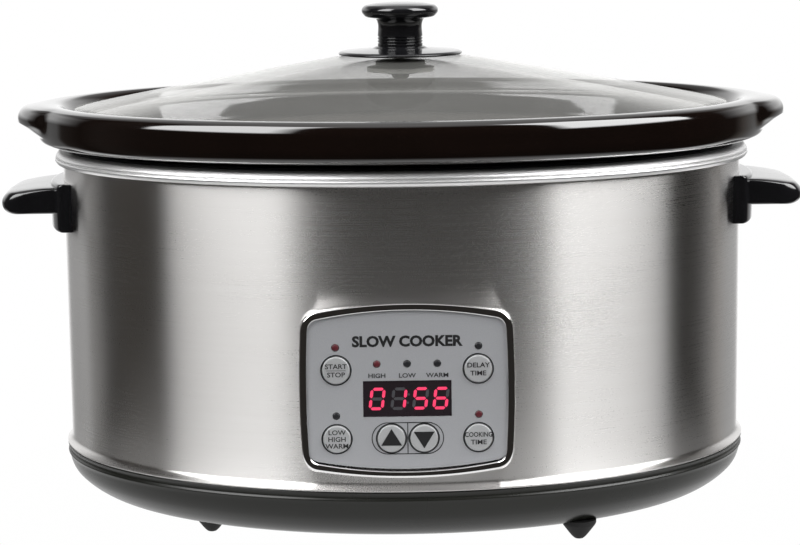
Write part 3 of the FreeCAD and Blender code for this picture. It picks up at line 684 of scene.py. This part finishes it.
crock = {"collarX": 190.0, "collarY": 139.5, "collarLow": 192.0, "collarHigh": 212.3, "seat": 205.0,
         "earCentre": 160.0, "earX": 40.5, "earY": 52.0, "earRoot": 196.5, "earLip": 203.4,
         "blend": 1.6, "steps": 432}


# The pot's wall and collar are one closed loop of (x, y, z) rows swept round the oval.
# At an ear the collar's outside moves out along each ray to the ear's oval: E = smooth max(Re - Rc, 0).
def makeCrock():
    cx = crock["collarX"]
    cy = crock["collarY"]
    foot = crockLow.z / mm
    high = crock["collarHigh"]
    low = crock["collarLow"]
    rows = [(20, 20, foot, 0), (132, 90, foot, 2), (142, 96, foot + 0.8, 6), (152.6, 105.6, foot + 9, 9)]
    rows += [(165.3, 118.3, low - 1.5, 2), (168.5, 121.5, low, 2), (cx - 4.6, cy - 4.6, low, 0.8)]
    rows += [(cx - 1.2, cy - 1.2, low + 1.7, 2.2), (cx, cy, low + 5.5, 3), (cx - 0.2, cy - 0.2, high - 5, 3)]
    rows += [(cx - 1.6, cy - 1.6, high - 1.4, 2.6), (cx - 6.5, cy - 6.5, high, 5)]
    rows += [(cx - 12.2, cy - 12.2, high - 0.4, 3), (cx - 15.2, cy - 15.2, crock["seat"] + 1.5, 1.5)]
    rows += [(cx - 15.5, cy - 15.5, crock["seat"], 1), (cx - 24, cy - 24, crock["seat"], 2.5)]
    rows += [(158.5, 111.5, low - 3, 8), (147, 100, foot + 26, 14), (137, 90, foot + 12.5, 16)]
    rows += [(118, 74, foot + 10.2, 8), (20, 20, foot + 10, 0)]
    loop = rounded([(x * mm, y * mm, z * mm, r * mm) for x, y, z, r in rows], False, 8)
    loop = refined(loop, 2.2 * mm, False)
    a = np.arange(crock["steps"]) * 2 * math.pi / crock["steps"]
    x = loop[None, :, 0] * np.cos(a)[:, None]
    y = loop[None, :, 1] * np.sin(a)[:, None]
    z = np.broadcast_to(loop[None, :, 2], x.shape).copy()
    radius = np.hypot(x, y)
    dx = x / radius
    dy = y / radius
    collar = 1 / np.sqrt((dx / (cx * mm)) ** 2 + (dy / (cy * mm)) ** 2)
    middle = crock["earCentre"] * mm
    ex = crock["earX"] * mm
    ey = crock["earY"] * mm
    p = (dx / ex) ** 2 + (dy / ey) ** 2
    q = -2 * np.abs(dx) * middle / ex ** 2
    r = (middle / ex) ** 2 - 1
    inside = q * q - 4 * p * r
    ear = np.where(inside > 0, (-q + np.sqrt(np.maximum(inside, 0))) / (2 * p), 0)
    gap = (ear - collar) / mm
    soft = crock["blend"]
    extra = 0.5 * (gap + np.sqrt(gap * gap + soft * soft)) * (gap > -12)
    extra -= 0.5 * (-12 + math.sqrt(144 + soft * soft)) * (gap > -12)
    extra = np.maximum(extra, 0) * mm
    under = np.clip((z / mm - crock["earRoot"]) / (crock["earLip"] - crock["earRoot"]), 0, 1)
    crest = (cx - 12.5) / cx
    share = np.clip((radius / collar - crest) / (1 - crest), 0, 1)
    weight = np.where(z / mm > high - 7.5, share ** 1.2, under)
    weight = weight * (radius / collar > crest)
    x = x + dx * extra * weight
    y = y + dy * extra * weight
    points = np.stack([x, y, z], axis=2)
    faces = gridFaces(crock["steps"], loop.shape[0], True, False).tolist()
    count = loop.shape[0]
    bottom = [i * count for i in range(crock["steps"])]
    floor = [i * count + count - 1 for i in range(crock["steps"])]
    faces.append(bottom[::-1])
    faces.append(floor)
    mesh = meshOf("crockPot", points, faces, sharp=60)
    return place(mesh, "crock", finishes["darkGlaze"], ["crock"])


makeCrock()
print("crock made")


# Lid

lid = {"edge": 4.6, "rise": 31.8, "blunt": 0.13, "thick": 4.5, "land": 6.8, "hole": 3.5}


# Top of the glass: z(s) = seat + edge + rise (1 - sqrt(s^2 + blunt^2)), s from 0 to 1 at the edge.
def glassTop(share):
    seat = lidLow.z / mm
    return seat + lid["edge"] + lid["rise"] * (1 - np.sqrt(np.asarray(share) ** 2 + lid["blunt"] ** 2))


def makeGlass():
    halfX = lidTop.x / mm
    halfY = lidTop.y / mm
    seat = lidLow.z / mm
    shares = np.linspace(0.992, 0.05, 34)
    top = [(halfX * s, halfY * s, float(glassTop(s)), 0) for s in shares]
    underShares = np.linspace(0.05, 0.955, 32)
    under = [(halfX * s, halfY * s, float(glassTop(s)) - lid["thick"], 0) for s in underShares]
    hole = lid["hole"]
    rows = [(halfX - 0.9, halfY - 0.9, seat, 0.5), (halfX, halfY, seat + 1.2, 1.0)]
    rows += [(halfX, halfY, seat + lid["edge"] - 1.4, 1.0)] + top
    rows += [(hole, hole, top[-1][2] + 0.05, 0), (hole, hole, under[0][2] + 0.05, 0)] + under
    rows += [(halfX - lid["land"], halfY - lid["land"] * 0.9, seat, 0.6)]
    loop = rounded([(x * mm, y * mm, z * mm, r * mm) for x, y, z, r in rows])
    mesh = meshOf("lidGlass", *ovalSweep(loop), sharp=50)
    return place(mesh, "lid", finishes["lidGlass"], ["lid_glass"])


def makeKnob():
    low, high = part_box("lid_knob")
    foot = low.z / mm
    top = high.z / mm
    neck = 11.75
    rows = [(0, foot, 0), (neck, foot, 0.3)]
    for groove in range(3):
        z = foot + 1.4 + 1.5 * groove
        rows += [(neck, z, 0.15), (neck - 0.7, z + 0.35, 0.2), (neck, z + 0.7, 0.15)]
    rows += [(neck - 0.4, top - 12, 4), (neck + 0.6, top - 8.6, 2), (18.2, top - 7.7, 2), (20, top - 5.4, 2)]
    rows += [(20, top - 3.4, 1.6), (18.4, top - 1.7, 2), (13, top - 0.6, 4), (6, top - 0.1, 3), (0, top, 0)]
    mesh = meshOf("lidKnob", *turned(rounded(rows, False) * mm, 96), sharp=45)
    place(mesh, "lid", finishes["blackPlastic"], ["lid_knob"])


def makeFlange():
    low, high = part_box("knob_flange")
    foot = low.z / mm
    top = high.z / mm
    rows = [(3.6, foot + 2.7, 0), (9, foot + 2.7, 3), (30.5, foot + 0.1, 0.5), (32.1, foot + 0.35, 0.8)]
    rows += [(32.5, foot + 1.2, 0.8), (31.0, foot + 2.1, 0.9), (22, foot + 2.9, 5), (14.4, foot + 3.4, 2)]
    rows += [(12.6, top, 1.2), (3.6, top, 0)]
    points, faces = turned(rounded(rows, True) * mm, 96)
    faces = gridFaces(96, points.shape[1], True, True)
    mesh = meshOf("knobFlange", points, faces, sharp=45)
    place(mesh, "lid", finishes["blackPlastic"], ["knob_flange"])


makeGlass()
makeKnob()
makeFlange()
print("lid made")


# Handles

grip = {"low": 157.0, "high": 171.0, "half": 33.5, "root": 172.0, "reach": 208.6, "steps": 61}
guard = {"low": 148.0, "high": 173.0, "half": 38.0, "thick": 7.0, "steps": 61}


# Grip: a side section in (x, z) carried along y. Its reach follows |y/w|^7 + (x/r)^7 = 1 and its
# thickness closes the same way at the ends, so every edge is round.
def gripGroup():
    low = grip["low"]
    high = grip["high"]
    reach = grip["reach"]
    root = grip["root"]
    section = [(root, low, 0), (reach - 3.6, low, 2.4), (reach - 0.3, low + 2.6, 2.4), (reach, low + 7.0, 3)]
    section += [(reach - 3.2, low + 11.0, 3.5), (reach - 11, high - 1.6, 5), (reach - 22, high - 0.3, 6)]
    section += [(root, high, 0)]
    loop = refined(rounded(section), 3.0)
    t = np.linspace(-1, 1, grip["steps"])
    y = np.sin(t * math.pi / 2) * grip["half"]
    share = np.abs(y) / (grip["half"] * 1.0001)
    plan = (1 - share ** 7) ** (1 / 7)
    plan = plan * (1 - 0.04 * share)
    thick = (1 - share ** 14) ** (1 / 14)
    middle = (low + high) / 2 - 0.5
    x = root + (loop[None, :, 0] - root) * plan[:, None]
    z = middle + (loop[None, :, 1] - middle) * thick[:, None]
    yy = np.broadcast_to(y[:, None], x.shape)
    points = np.stack([x, yy, z], axis=2)
    faces = gridFaces(grip["steps"], len(loop), False, True).tolist()
    count = len(loop)
    faces.append(list(range(count)))
    faces.append([(grip["steps"] - 1) * count + i for i in range(count)][::-1])
    return points, faces


# Guard plate: a rounded section in (outwards, z) carried along the sleeve's oval.
def guardGroup():
    low = guard["low"]
    high = guard["high"]
    thick = guard["thick"]
    section = [(-0.2, low, 0), (thick - 0.2, low, 2.2), (thick, (low + high) / 2, 6)]
    section += [(thick - 0.2, high, 2.2), (-0.2, high, 0)]
    loop = refined(rounded(section), 3.0)
    t = np.linspace(-1, 1, guard["steps"])
    y = np.sin(t * math.pi / 2) * guard["half"]
    share = np.abs(y) / (guard["half"] * 1.0001)
    close = (1 - share ** 14) ** (1 / 14)
    middle = (low + high) / 2
    out = np.where(loop[None, :, 0] > 0, loop[None, :, 0] * close[:, None], loop[None, :, 0])
    z = middle + (loop[None, :, 1] - middle) * (1 - (1 - close[:, None]) * 0.12)
    halfX = ovalX / mm + out
    halfY = ovalY / mm + out
    yy = np.broadcast_to(y[:, None], out.shape)
    x = halfX * np.sqrt(1 - (yy / halfY) ** 2)
    points = np.stack([x, yy, z], axis=2)
    faces = gridFaces(guard["steps"], len(loop), False, True).tolist()
    count = len(loop)
    faces.append(list(range(count)))
    faces.append([(guard["steps"] - 1) * count + i for i in range(count)][::-1])
    return points, faces


def makeHandles():
    for side, node in ((-1, "handle_left"), (1, "handle_right")):
        shells = []
        for points, faces in (gripGroup(), guardGroup()):
            shells.append((np.asarray(points) * np.array([side, 1, 1]) * mm, faces))
        mesh = meshOf(node.replace("_", "") + "Shell", *joined(shells), sharp=40)
        place(mesh, "housing", finishes["blackPlastic"], [node])


makeHandles()
print("handles made")


# Control panel

panel = {"half": 51.6, "low": 40.8, "high": 126.6, "arch": 5.2, "corner": 10.0, "width": 3.9}


# Arched outline, inset by a distance: two shallow parabolas, two sides and round corners, always
# with the same number of points, counted from the left end of the top.
def archOutline(inset, steps=48):
    half = panel["half"] - inset
    corner = max(panel["corner"] - inset, 1.0)
    high = panel["high"] - inset
    low = panel["low"] + inset
    arch = panel["arch"]
    t = np.linspace(-1, 1, steps)
    x = t * (half - corner * 0.9)
    dip = arch * (x / half) ** 2
    top = np.stack([x, high - dip], axis=1)
    bottom = np.stack([x[::-1], low + dip], axis=1)
    y = np.linspace(high - arch - corner, low + arch + corner, 14)
    bow = 0.7 * (1 - np.linspace(-1, 1, 14) ** 2)
    right = np.stack([np.full(14, half) - 0.7 + bow, y], axis=1)
    left = np.stack([-(np.full(14, half) - 0.7 + bow), y[::-1]], axis=1)

    def turnCorner(a, b, corner):
        s = np.linspace(0, 1, 13)[1:-1, None]
        return (1 - s) ** 2 * a + 2 * s * (1 - s) * corner + s ** 2 * b

    half = half - 0.7
    upperRight = turnCorner(top[-1], right[0], np.array([half + 0.1, high - arch * 0.92]))
    lowerRight = turnCorner(right[-1], bottom[0], np.array([half + 0.1, low + arch * 0.92]))
    lowerLeft = turnCorner(bottom[-1], left[0], np.array([-half - 0.1, low + arch * 0.92]))
    upperLeft = turnCorner(left[-1], top[0], np.array([-half - 0.1, high - arch * 0.92]))
    return np.vstack([top, upperRight, right, lowerRight, bottom, lowerLeft, left, upperLeft])


# The frame's section in (inset, distance in front of the sleeve's middle) is carried round the
# arched outline; the rows marked as back lie on the sleeve's curved surface.
def makeFrame():
    front = -frameLow.y / mm
    width = panel["width"]
    section = [(0, front - 1.7, 1.2), (0.75, front - 0.12, 0.8), (2.2, front, 1.5), (3.4, front - 0.1, 0.3)]
    section += [(width, front - 0.75, 0.2)]
    loop = rounded([(0.0, front - 3.6, 0)] + section + [(width, front - 2.6, 0)], False, 6)
    columns = [archOutline(inset) for inset in loop[:, 0]]
    outline = np.stack(columns, axis=1)
    x = outline[:, :, 0] * mm
    z = outline[:, :, 1] * mm
    y = -np.broadcast_to(loop[None, :, 1], x.shape) * mm
    backOuter = sleeveFront(x[:, :1]) + 0.00005
    backInner = sleeveFront(x[:, -1:]) + 0.00005
    y = np.concatenate([backOuter, y[:, 1:], backInner], axis=1)
    x = np.concatenate([x, x[:, -1:]], axis=1)
    z = np.concatenate([z, z[:, -1:]], axis=1)
    points = np.stack([x, y, z], axis=2)
    faces = gridFaces(points.shape[0], points.shape[1], True, True)
    mesh = meshOf("panelFrame", points, faces, sharp=40)
    return place(mesh, "housing", finishes["chrome"], ["panel_frame"])


makeFrame()
buttonNames = ["start_stop", "delay_time", "heat_mode", "cooking_time", "up", "down"]
buttonPlaces = {}
cap = {"radius": 6.6, "rim": 7.5, "stem": 2.0}


# Lays a turned surface down: its axis goes from Z to Y, and its start goes to (x, y, z).
def laidDown(points, x, y, z):
    return np.stack([points[:, :, 0] + x, points[:, :, 2] + y, points[:, :, 1] + z], axis=2)


# Button: turned about an axis along Y, with a faintly domed face.
def makeButtons():
    for name in buttonNames:
        low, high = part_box("button_" + name)
        middle = (low + high) / 2
        buttonPlaces[name] = (middle.x, middle.z, low.y)
        front = 0.0
        r = cap["radius"]
        rows = [(0, front, 0), (3.5, front + 0.01, 1), (r - 0.55, front + 0.05, 0.4), (r, front + 0.3, 0.3)]
        rows += [(r, 3.2, 0), (cap["rim"], 3.2, 0.1), (cap["rim"], 4.0, 0.1), (cap["stem"], 4.0, 0)]
        depth = (high.y - low.y) / mm
        rows += [(cap["stem"], depth, 0), (0, depth, 0)]
        points, faces = turned(rounded(rows, False) * mm, 56)
        spun = laidDown(points, middle.x, low.y, middle.z)
        mesh = meshOf("cap" + name.title().replace("_", ""), spun, faces)
        place(mesh, "button_" + name, finishes["silverCap"], ["button_" + name])


makeButtons()
print("panel frame and buttons made")


# Print, digits and lights

ink = {"lift": 0.02, "thick": 0.03, "line": 0.46}


# Extrudes flat outlines in (x, z) forwards from the plane y: P = (x, y - thick, z).
def plateGroup(outline, y, thick):
    count = len(outline)
    front = np.stack([outline[:, 0], np.full(count, y - thick), outline[:, 1]], axis=1)
    back = np.stack([outline[:, 0], np.full(count, y), outline[:, 1]], axis=1)
    faces = [list(range(count)), list(range(count, 2 * count))[::-1]]
    for i in range(count):
        j = (i + 1) % count
        faces.append([i, i + count, j + count, j])
    return np.vstack([front, back]), faces


# A band of a given width along a closed outline: its inner and outer edges, front and back.
def bandGroup(outer, inner, y, thick):
    count = len(outer)
    rings = []
    for edge, depth in ((outer, y), (outer, y - thick), (inner, y - thick), (inner, y)):
        rings.append(np.stack([edge[:, 0], np.full(count, depth), edge[:, 1]], axis=1))
    return np.stack(rings, axis=1), gridFaces(count, 4, True, True)


def circle(x, z, radius, steps=64):
    a = np.arange(steps) * 2 * math.pi / steps
    return np.stack([x + radius * np.cos(a), z + radius * np.sin(a)], axis=1)


def stadium(halfX, halfZ, z, steps=32):
    a = np.linspace(-math.pi / 2, math.pi / 2, steps)
    right = np.stack([halfX - halfZ + halfZ * np.cos(a), z + halfZ * np.sin(a)], axis=1)
    left = np.stack([-right[::-1, 0], right[::-1, 1]], axis=1)
    return np.vstack([right, left])


# Words as flat meshes facing the front: text (u, v) goes to (x + u, y, z + v).
def wordGroup(text, x, z, y, size, bold=0.0, wide=1.0):
    curve = bpy.data.curves.new("word", "FONT")
    curve.body = text
    curve.size = size
    curve.align_x = "CENTER"
    curve.align_y = "CENTER"
    curve.extrude = ink["thick"] * mm / 2
    curve.offset = bold
    curve.resolution_u = 3
    holder = bpy.data.objects.new("word", curve)
    bpy.context.scene.collection.objects.link(holder)
    bpy.context.view_layer.update()
    mesh = bpy.data.meshes.new_from_object(holder.evaluated_get(bpy.context.evaluated_depsgraph_get()))
    co = np.empty(len(mesh.vertices) * 3)
    mesh.vertices.foreach_get("co", co)
    co = co.reshape(-1, 3)
    middle = (co[:, 1].max() + co[:, 1].min()) / 2
    points = np.stack([co[:, 0] * wide + x, -co[:, 2] + y, co[:, 1] - middle + z], axis=1)
    faces = [list(p.vertices) for p in mesh.polygons]
    bpy.data.objects.remove(holder)
    bpy.data.curves.remove(curve)
    bpy.data.meshes.remove(mesh)
    return points, faces


words = {"title": "SLOW COOKER", "titleZ": 108.0, "titleSize": 7.0, "labelSize": 3.0, "labelZ": 91.4,
         "titleBold": 0.3, "titleWide": 1.03, "bold": 0.06, "labelWide": 1.16, "capSize": 3.25,
         "capWide": 1.1, "longWide": 0.86, "long": 6,
         "modes": [("HIGH", -14.4), ("LOW", 0.0), ("WARM", 14.4)]}
capWords = {
    "start_stop": [("START", 2.0), ("STOP", -2.0)],
    "delay_time": [("DELAY", 1.9), ("TIME", -2.0)],
    "heat_mode": [("LOW", 3.4), ("HIGH", 0.1), ("WARM", -3.2)],
    "cooking_time": [("COOKING", 1.6), ("TIME", -2.1)],
}
rocker = {"half": 17.3, "round": 7.85, "split": 7.6, "ringGap": 0.38}
marks = {"dashHalf": 4.6, "dashRise": 0.11, "arrowHalf": 5.0, "arrowTip": 4.9, "arrowBase": 3.3}


# Corners of an upright rectangle about (x, z).
def rectangle(x, z, half, rise):
    signs = [(-1, -1), (1, -1), (1, 1), (-1, 1)]
    return np.array([(x + across * half, z + up * rise) for across, up in signs])


def makeFasciaPrint():
    y = fasciaLow.y - ink["lift"] * mm
    thick = ink["thick"] * mm
    line = ink["line"] * mm
    size = words["titleSize"] * mm
    bold = words["titleBold"] * mm
    groups = [wordGroup(words["title"], 0, words["titleZ"] * mm, y, size, bold, words["titleWide"])]
    size = words["labelSize"] * mm
    bold = words["bold"] * mm
    for text, x in words["modes"]:
        groups.append(wordGroup(text, x * mm, words["labelZ"] * mm, y, size, bold, words["labelWide"]))
    for x, z, _ in buttonPlaces.values():
        gap = (cap["radius"] + rocker["ringGap"]) * mm
        groups.append(bandGroup(circle(x, z, gap + line), circle(x, z, gap), y, thick))
    z = buttonPlaces["up"][1]
    half = rocker["half"] * mm
    curve = rocker["round"] * mm
    groups.append(bandGroup(stadium(half, curve, z), stadium(half - line, curve - line, z), y, thick))
    bar = rectangle(0, z, line / 2, rocker["split"] * mm)
    groups.append(plateGroup(bar, y, thick))
    mesh = meshOf("fasciaPrint", *joined(groups))
    place(mesh, "housing", finishes["blackInk"])


def makeCapPrint():
    for name, (x, z, front) in buttonPlaces.items():
        y = front - ink["lift"] * mm
        groups = []
        for text, rise in capWords.get(name, []):
            wide = words["longWide"] if len(text) > words["long"] else words["capWide"]
            bold = words["bold"] * mm
            groups.append(wordGroup(text, x, z + rise * mm, y, words["capSize"] * mm, bold, wide))
        if name == "start_stop":
            bar = rectangle(x, z, marks["dashHalf"] * mm, marks["dashRise"] * mm)
            groups.append(plateGroup(bar, y, ink["thick"] * mm))
        if name in ("up", "down"):
            way = 1 if name == "up" else -1
            half = marks["arrowHalf"] * mm
            bottom = z - way * marks["arrowBase"] * mm
            tip = z + way * marks["arrowTip"] * mm
            arrow = np.array([(x - half, bottom), (x + half, bottom), (x, tip)])
            groups.append(plateGroup(arrow[::way], y, ink["thick"] * mm))
        mesh = meshOf("print" + name.title().replace("_", ""), *joined(groups))
        place(mesh, "button_" + name, finishes["blackInk"])


digits = {"places": [-14.4, -4.0, 6.3, 16.0], "shown": "0156", "half": 2.9, "tall": 4.75, "stroke": 0.72,
          "lean": 0.12, "gap": 0.32}
segmentsOf = {"0": "abcdef", "1": "bc", "5": "acdfg", "6": "acdefg"}


# One bar of a digit between two points: a six-sided bar with pointed ends, leaning x += lean z.
def segmentOutline(start, stop):
    way = np.array(stop) - np.array(start)
    length = np.linalg.norm(way)
    way = way / length
    side = np.array([-way[1], way[0]]) * digits["stroke"]
    a = np.array(start) + way * digits["gap"]
    b = np.array(stop) - way * digits["gap"]
    shoulder = way * digits["stroke"]
    lower = [a, a + shoulder - side, b - shoulder - side]
    return np.array(lower + [b, b - shoulder + side, a + shoulder + side])


def makeDigits():
    low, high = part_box("display_window")
    middle = (low + high) / 2 / mm
    w = digits["half"]
    h = digits["tall"]
    ends = {"a": ((-w, h), (w, h)), "b": ((w, h), (w, 0)), "c": ((w, 0), (w, -h)), "d": ((-w, -h), (w, -h)),
            "e": ((-w, 0), (-w, -h)), "f": ((-w, h), (-w, 0)), "g": ((-w, 0), (w, 0))}
    y = low.y - 0.01 * mm
    lit = []
    rest = []
    for across, shown in zip(digits["places"], digits["shown"]):
        for key, (start, stop) in ends.items():
            outline = segmentOutline(start, stop)
            outline[:, 0] += digits["lean"] * outline[:, 1] + across
            outline[:, 1] += middle.z
            group = plateGroup(outline * mm, y, 0.04 * mm)
            (lit if key in segmentsOf[shown] else rest).append(group)
    for z in (-2.0, 2.0):
        rest.append(plateGroup(circle(0.4 + digits["lean"] * z, middle.z + z, 0.6, 20) * mm, y, 0.04 * mm))
    place(meshOf("digitsLit", *joined(lit)), "housing", finishes["litSegment"])
    place(meshOf("digitsRest", *joined(rest)), "housing", finishes["restSegment"])


lights = {"radius": 1.8, "red": [(-34, 105.2), (34, 72.0), (-14.4, 97.0)],
          "black": [(34, 105.2), (-34, 72.0), (0, 97.0), (14.4, 97.0)]}


# Indicator lens: a turned dome about an axis along Y, on a short rod behind the fascia.
def makeLights():
    low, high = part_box("indicator_lights")
    for tone, material in (("red", "redLens"), ("black", "blackLens")):
        groups = []
        for x, z in lights[tone]:
            r = lights["radius"]
            rows = [(0, 0, 0), (r - 0.6, 0.06, 0.5), (r, 0.5, 0.4), (r, (high.y - low.y) / mm, 0)]
            rows.append((0, (high.y - low.y) / mm, 0))
            points, faces = turned(rounded(rows, False) * mm, 32)
            groups.append((laidDown(points, x * mm, low.y, z * mm), faces))
        mesh = meshOf(tone + "Lights", *joined(groups))
        replaced = ["indicator_lights"] if tone == "red" else []
        place(mesh, "housing", finishes[material], replaced)


makeFasciaPrint()
makeCapPrint()
makeDigits()
makeLights()
print("print, digits and lights made")


# Carried-over nodes

dress = {
    "aluminium": ["heating_well"],
    "silverFilm": ["panel_fascia"],
    "darkLens": ["display_window"],
    "rubber": ["rim_seal"],
    "silicone": ["knob_gasket"],
    "mica": ["heater_band"],
    "felt": ["insulation_blanket"],
    "basePlastic": ["cord_gland"],
    "innerPlastic": ["panel_box", "transformer", "relay", "terminal_block", "filter_capacitor",
                     "button_switches", "display_module"],
    "circuitBoard": ["power_board", "control_board"],
    "leadSleeve": ["heater_leads", "panel_ribbon"],
    "whiteCeramic": ["thermal_fuse"],
    "zincSteel": ["heat_shield", "tie_stud", "tie_nut", "tie_spacer", "knob_screw", "knob_washer",
                  "handle_screws", "shield_screws", "board_screws", "panel_screws", "fuse_clip",
                  "sensor_holder", "temperature_sensor"],
}
for name, members in dress.items():
    for member in members:
        nodes[member].data.materials.clear()
        nodes[member].data.materials.append(finishes[name])
print("carried-over nodes dressed")


# Light and camera

# Studio surroundings by direction, in degrees left (-) or right (+) of the front and up (+): two
# tall soft boxes, dark walls, a pale floor and ceiling and a white backdrop.
studio = {
    "walls": [(-180, 0.45), (-150, 0.3), (-124, 0.26), (-119, 0.05), (-104, 0.02), (-92, 0.05), (-84, 0.045),
              (-72, 0.03), (-40, 0.022), (0, 0.02), (40, 0.022), (79, 0.018), (98, 0.018), (113, 0.022),
              (121, 0.16), (134, 0.3), (150, 0.4), (180, 0.45)],
    "leftBox": (-74, -71, -34, -26),
    "rightBox": (39, 44, 86.5, 88),
    "boxRise": (14, 20, 62, 72),
    "leftLevel": 7.8,
    "rightLevel": 9.0,
    "floorRise": (-62, -42),
    "floorLevel": 0.85,
    "backSide": (104, 128),
    "backRise": (-3, 6, 20, 30),
    "backLevel": 1.1,
    "rearSide": (154, 162),
    "rearRise": (-24, -19, 12, 18),
    "rearLevel": 1.15,
    "flankSide": (112, 128),
    "flankRise": (-75, -55, -30, -20),
    "flankLevel": 1.6,
    "skyRise": (52, 78),
    "skyLevel": 0.95,
}


def rises(pair):
    return [math.sin(math.radians(angle)) for angle in pair]


def makeStudio():
    world = bpy.data.worlds.new("studio")
    bpy.context.scene.world = world
    world.use_nodes = True
    m = Maker(world.node_tree)
    way = m.add("ShaderNodeTexCoord").outputs["Generated"]
    split = m.add("ShaderNodeSeparateXYZ", None, {0: way})
    x = Signal(m, split.outputs[0])
    y = Signal(m, split.outputs[1])
    z = Signal(m, split.outputs[2])
    turn = x.join("ARCTAN2", y * -1.0) * (180 / math.pi)
    stops = []
    for angle, level in studio["walls"]:
        warm = 1.1 if level < 0.2 else 1.0
        stops.append(((angle + 180) / 360, (level * warm, level, level / warm)))
    walls = m.add("ShaderNodeValToRGB", {"stops": stops}, {0: turn / 360 + 0.5}).outputs[0]
    masks = []
    for key in ("leftBox", "rightBox"):
        a, b, c, d = studio[key]
        masks.append(turn.between(a, b) * (1 - turn.between(c, d)))
    a, b, c, d = rises(studio["boxRise"])
    height = z.between(a, b) * (1 - z.between(c, d))
    ground = 1 - z.between(*rises(studio["floorRise"]))
    away = turn.join("ABSOLUTE", 0.0)
    patches = []
    for key in ("flank", "back", "rear"):
        a, b, c, d = rises(studio[key + "Rise"])
        band = away.between(*studio[key + "Side"]) * z.between(a, b) * (1 - z.between(c, d))
        patches.append((band, key + "Level"))
    sky = z.between(*rises(studio["skyRise"]))
    body = m.blend(ground, walls, (studio["floorLevel"],) * 3)
    body = m.blend(sky, body, (studio["skyLevel"],) * 3)
    for patch, key in patches:
        body = m.blend(patch, body, (studio[key],) * 3)
    for mask, key in zip(masks, ("leftLevel", "rightLevel")):
        body = m.blend(mask * height, body, (studio[key],) * 3)
    seen = Signal(m, m.add("ShaderNodeLightPath").outputs["Is Camera Ray"])
    body = m.blend(seen, body, (1.0, 1.0, 1.0))
    surround = m.add("ShaderNodeBackground", None, {"Color": body, "Strength": 1.0})
    m.add("ShaderNodeOutputWorld", None, {"Surface": surround.outputs[0]})


floor = {"radius": 0.24, "depth": 0.004}


# Plain pale floor: a thin disc under the feet that glows evenly, so nothing on it casts a shade.
def makeFloor():
    rows = [(0, -floor["depth"], 0), (floor["radius"], -floor["depth"], 0)]
    rows += [(floor["radius"], -0.0002, 0), (0, -0.0002, 0)]
    mesh = meshOf("paleFloor", *turned(np.array(rows)[:, :2], 96))
    piece = bpy.data.objects.new("paleFloor", mesh)
    bpy.context.scene.collection.objects.link(piece)
    mesh.materials.append(finishes["paleFloor"])


view = {"place": (-0.0128, -1.1943, 0.3155), "yaw": 0.54, "pitch": 9.34, "roll": -0.7, "lens": 102.6}


# Looks along (sin yaw cos pitch, cos yaw cos pitch, -sin pitch), then rolls about that line.
def makeCamera():
    yaw, pitch, roll = (math.radians(view[key]) for key in ("yaw", "pitch", "roll"))
    forward = Vector((math.sin(yaw) * math.cos(pitch), math.cos(yaw) * math.cos(pitch), -math.sin(pitch)))
    right = forward.cross(Vector((0, 0, 1))).normalized()
    up = right.cross(forward)
    rolledRight = right * math.cos(roll) + up * math.sin(roll)
    rolledUp = rolledRight.cross(forward)
    camera = bpy.data.objects.new("camera", bpy.data.cameras.new("camera"))
    bpy.context.scene.collection.objects.link(camera)
    camera.matrix_world = Matrix((rolledRight, rolledUp, -forward)).transposed().to_4x4()
    camera.location = view["place"]
    camera.data.lens = view["lens"]
    camera.data.sensor_width = 36.0
    bpy.context.scene.camera = camera


makeStudio()
makeFloor()
makeCamera()
bpy.context.scene.view_settings.view_transform = "Standard"
print("light and camera made")
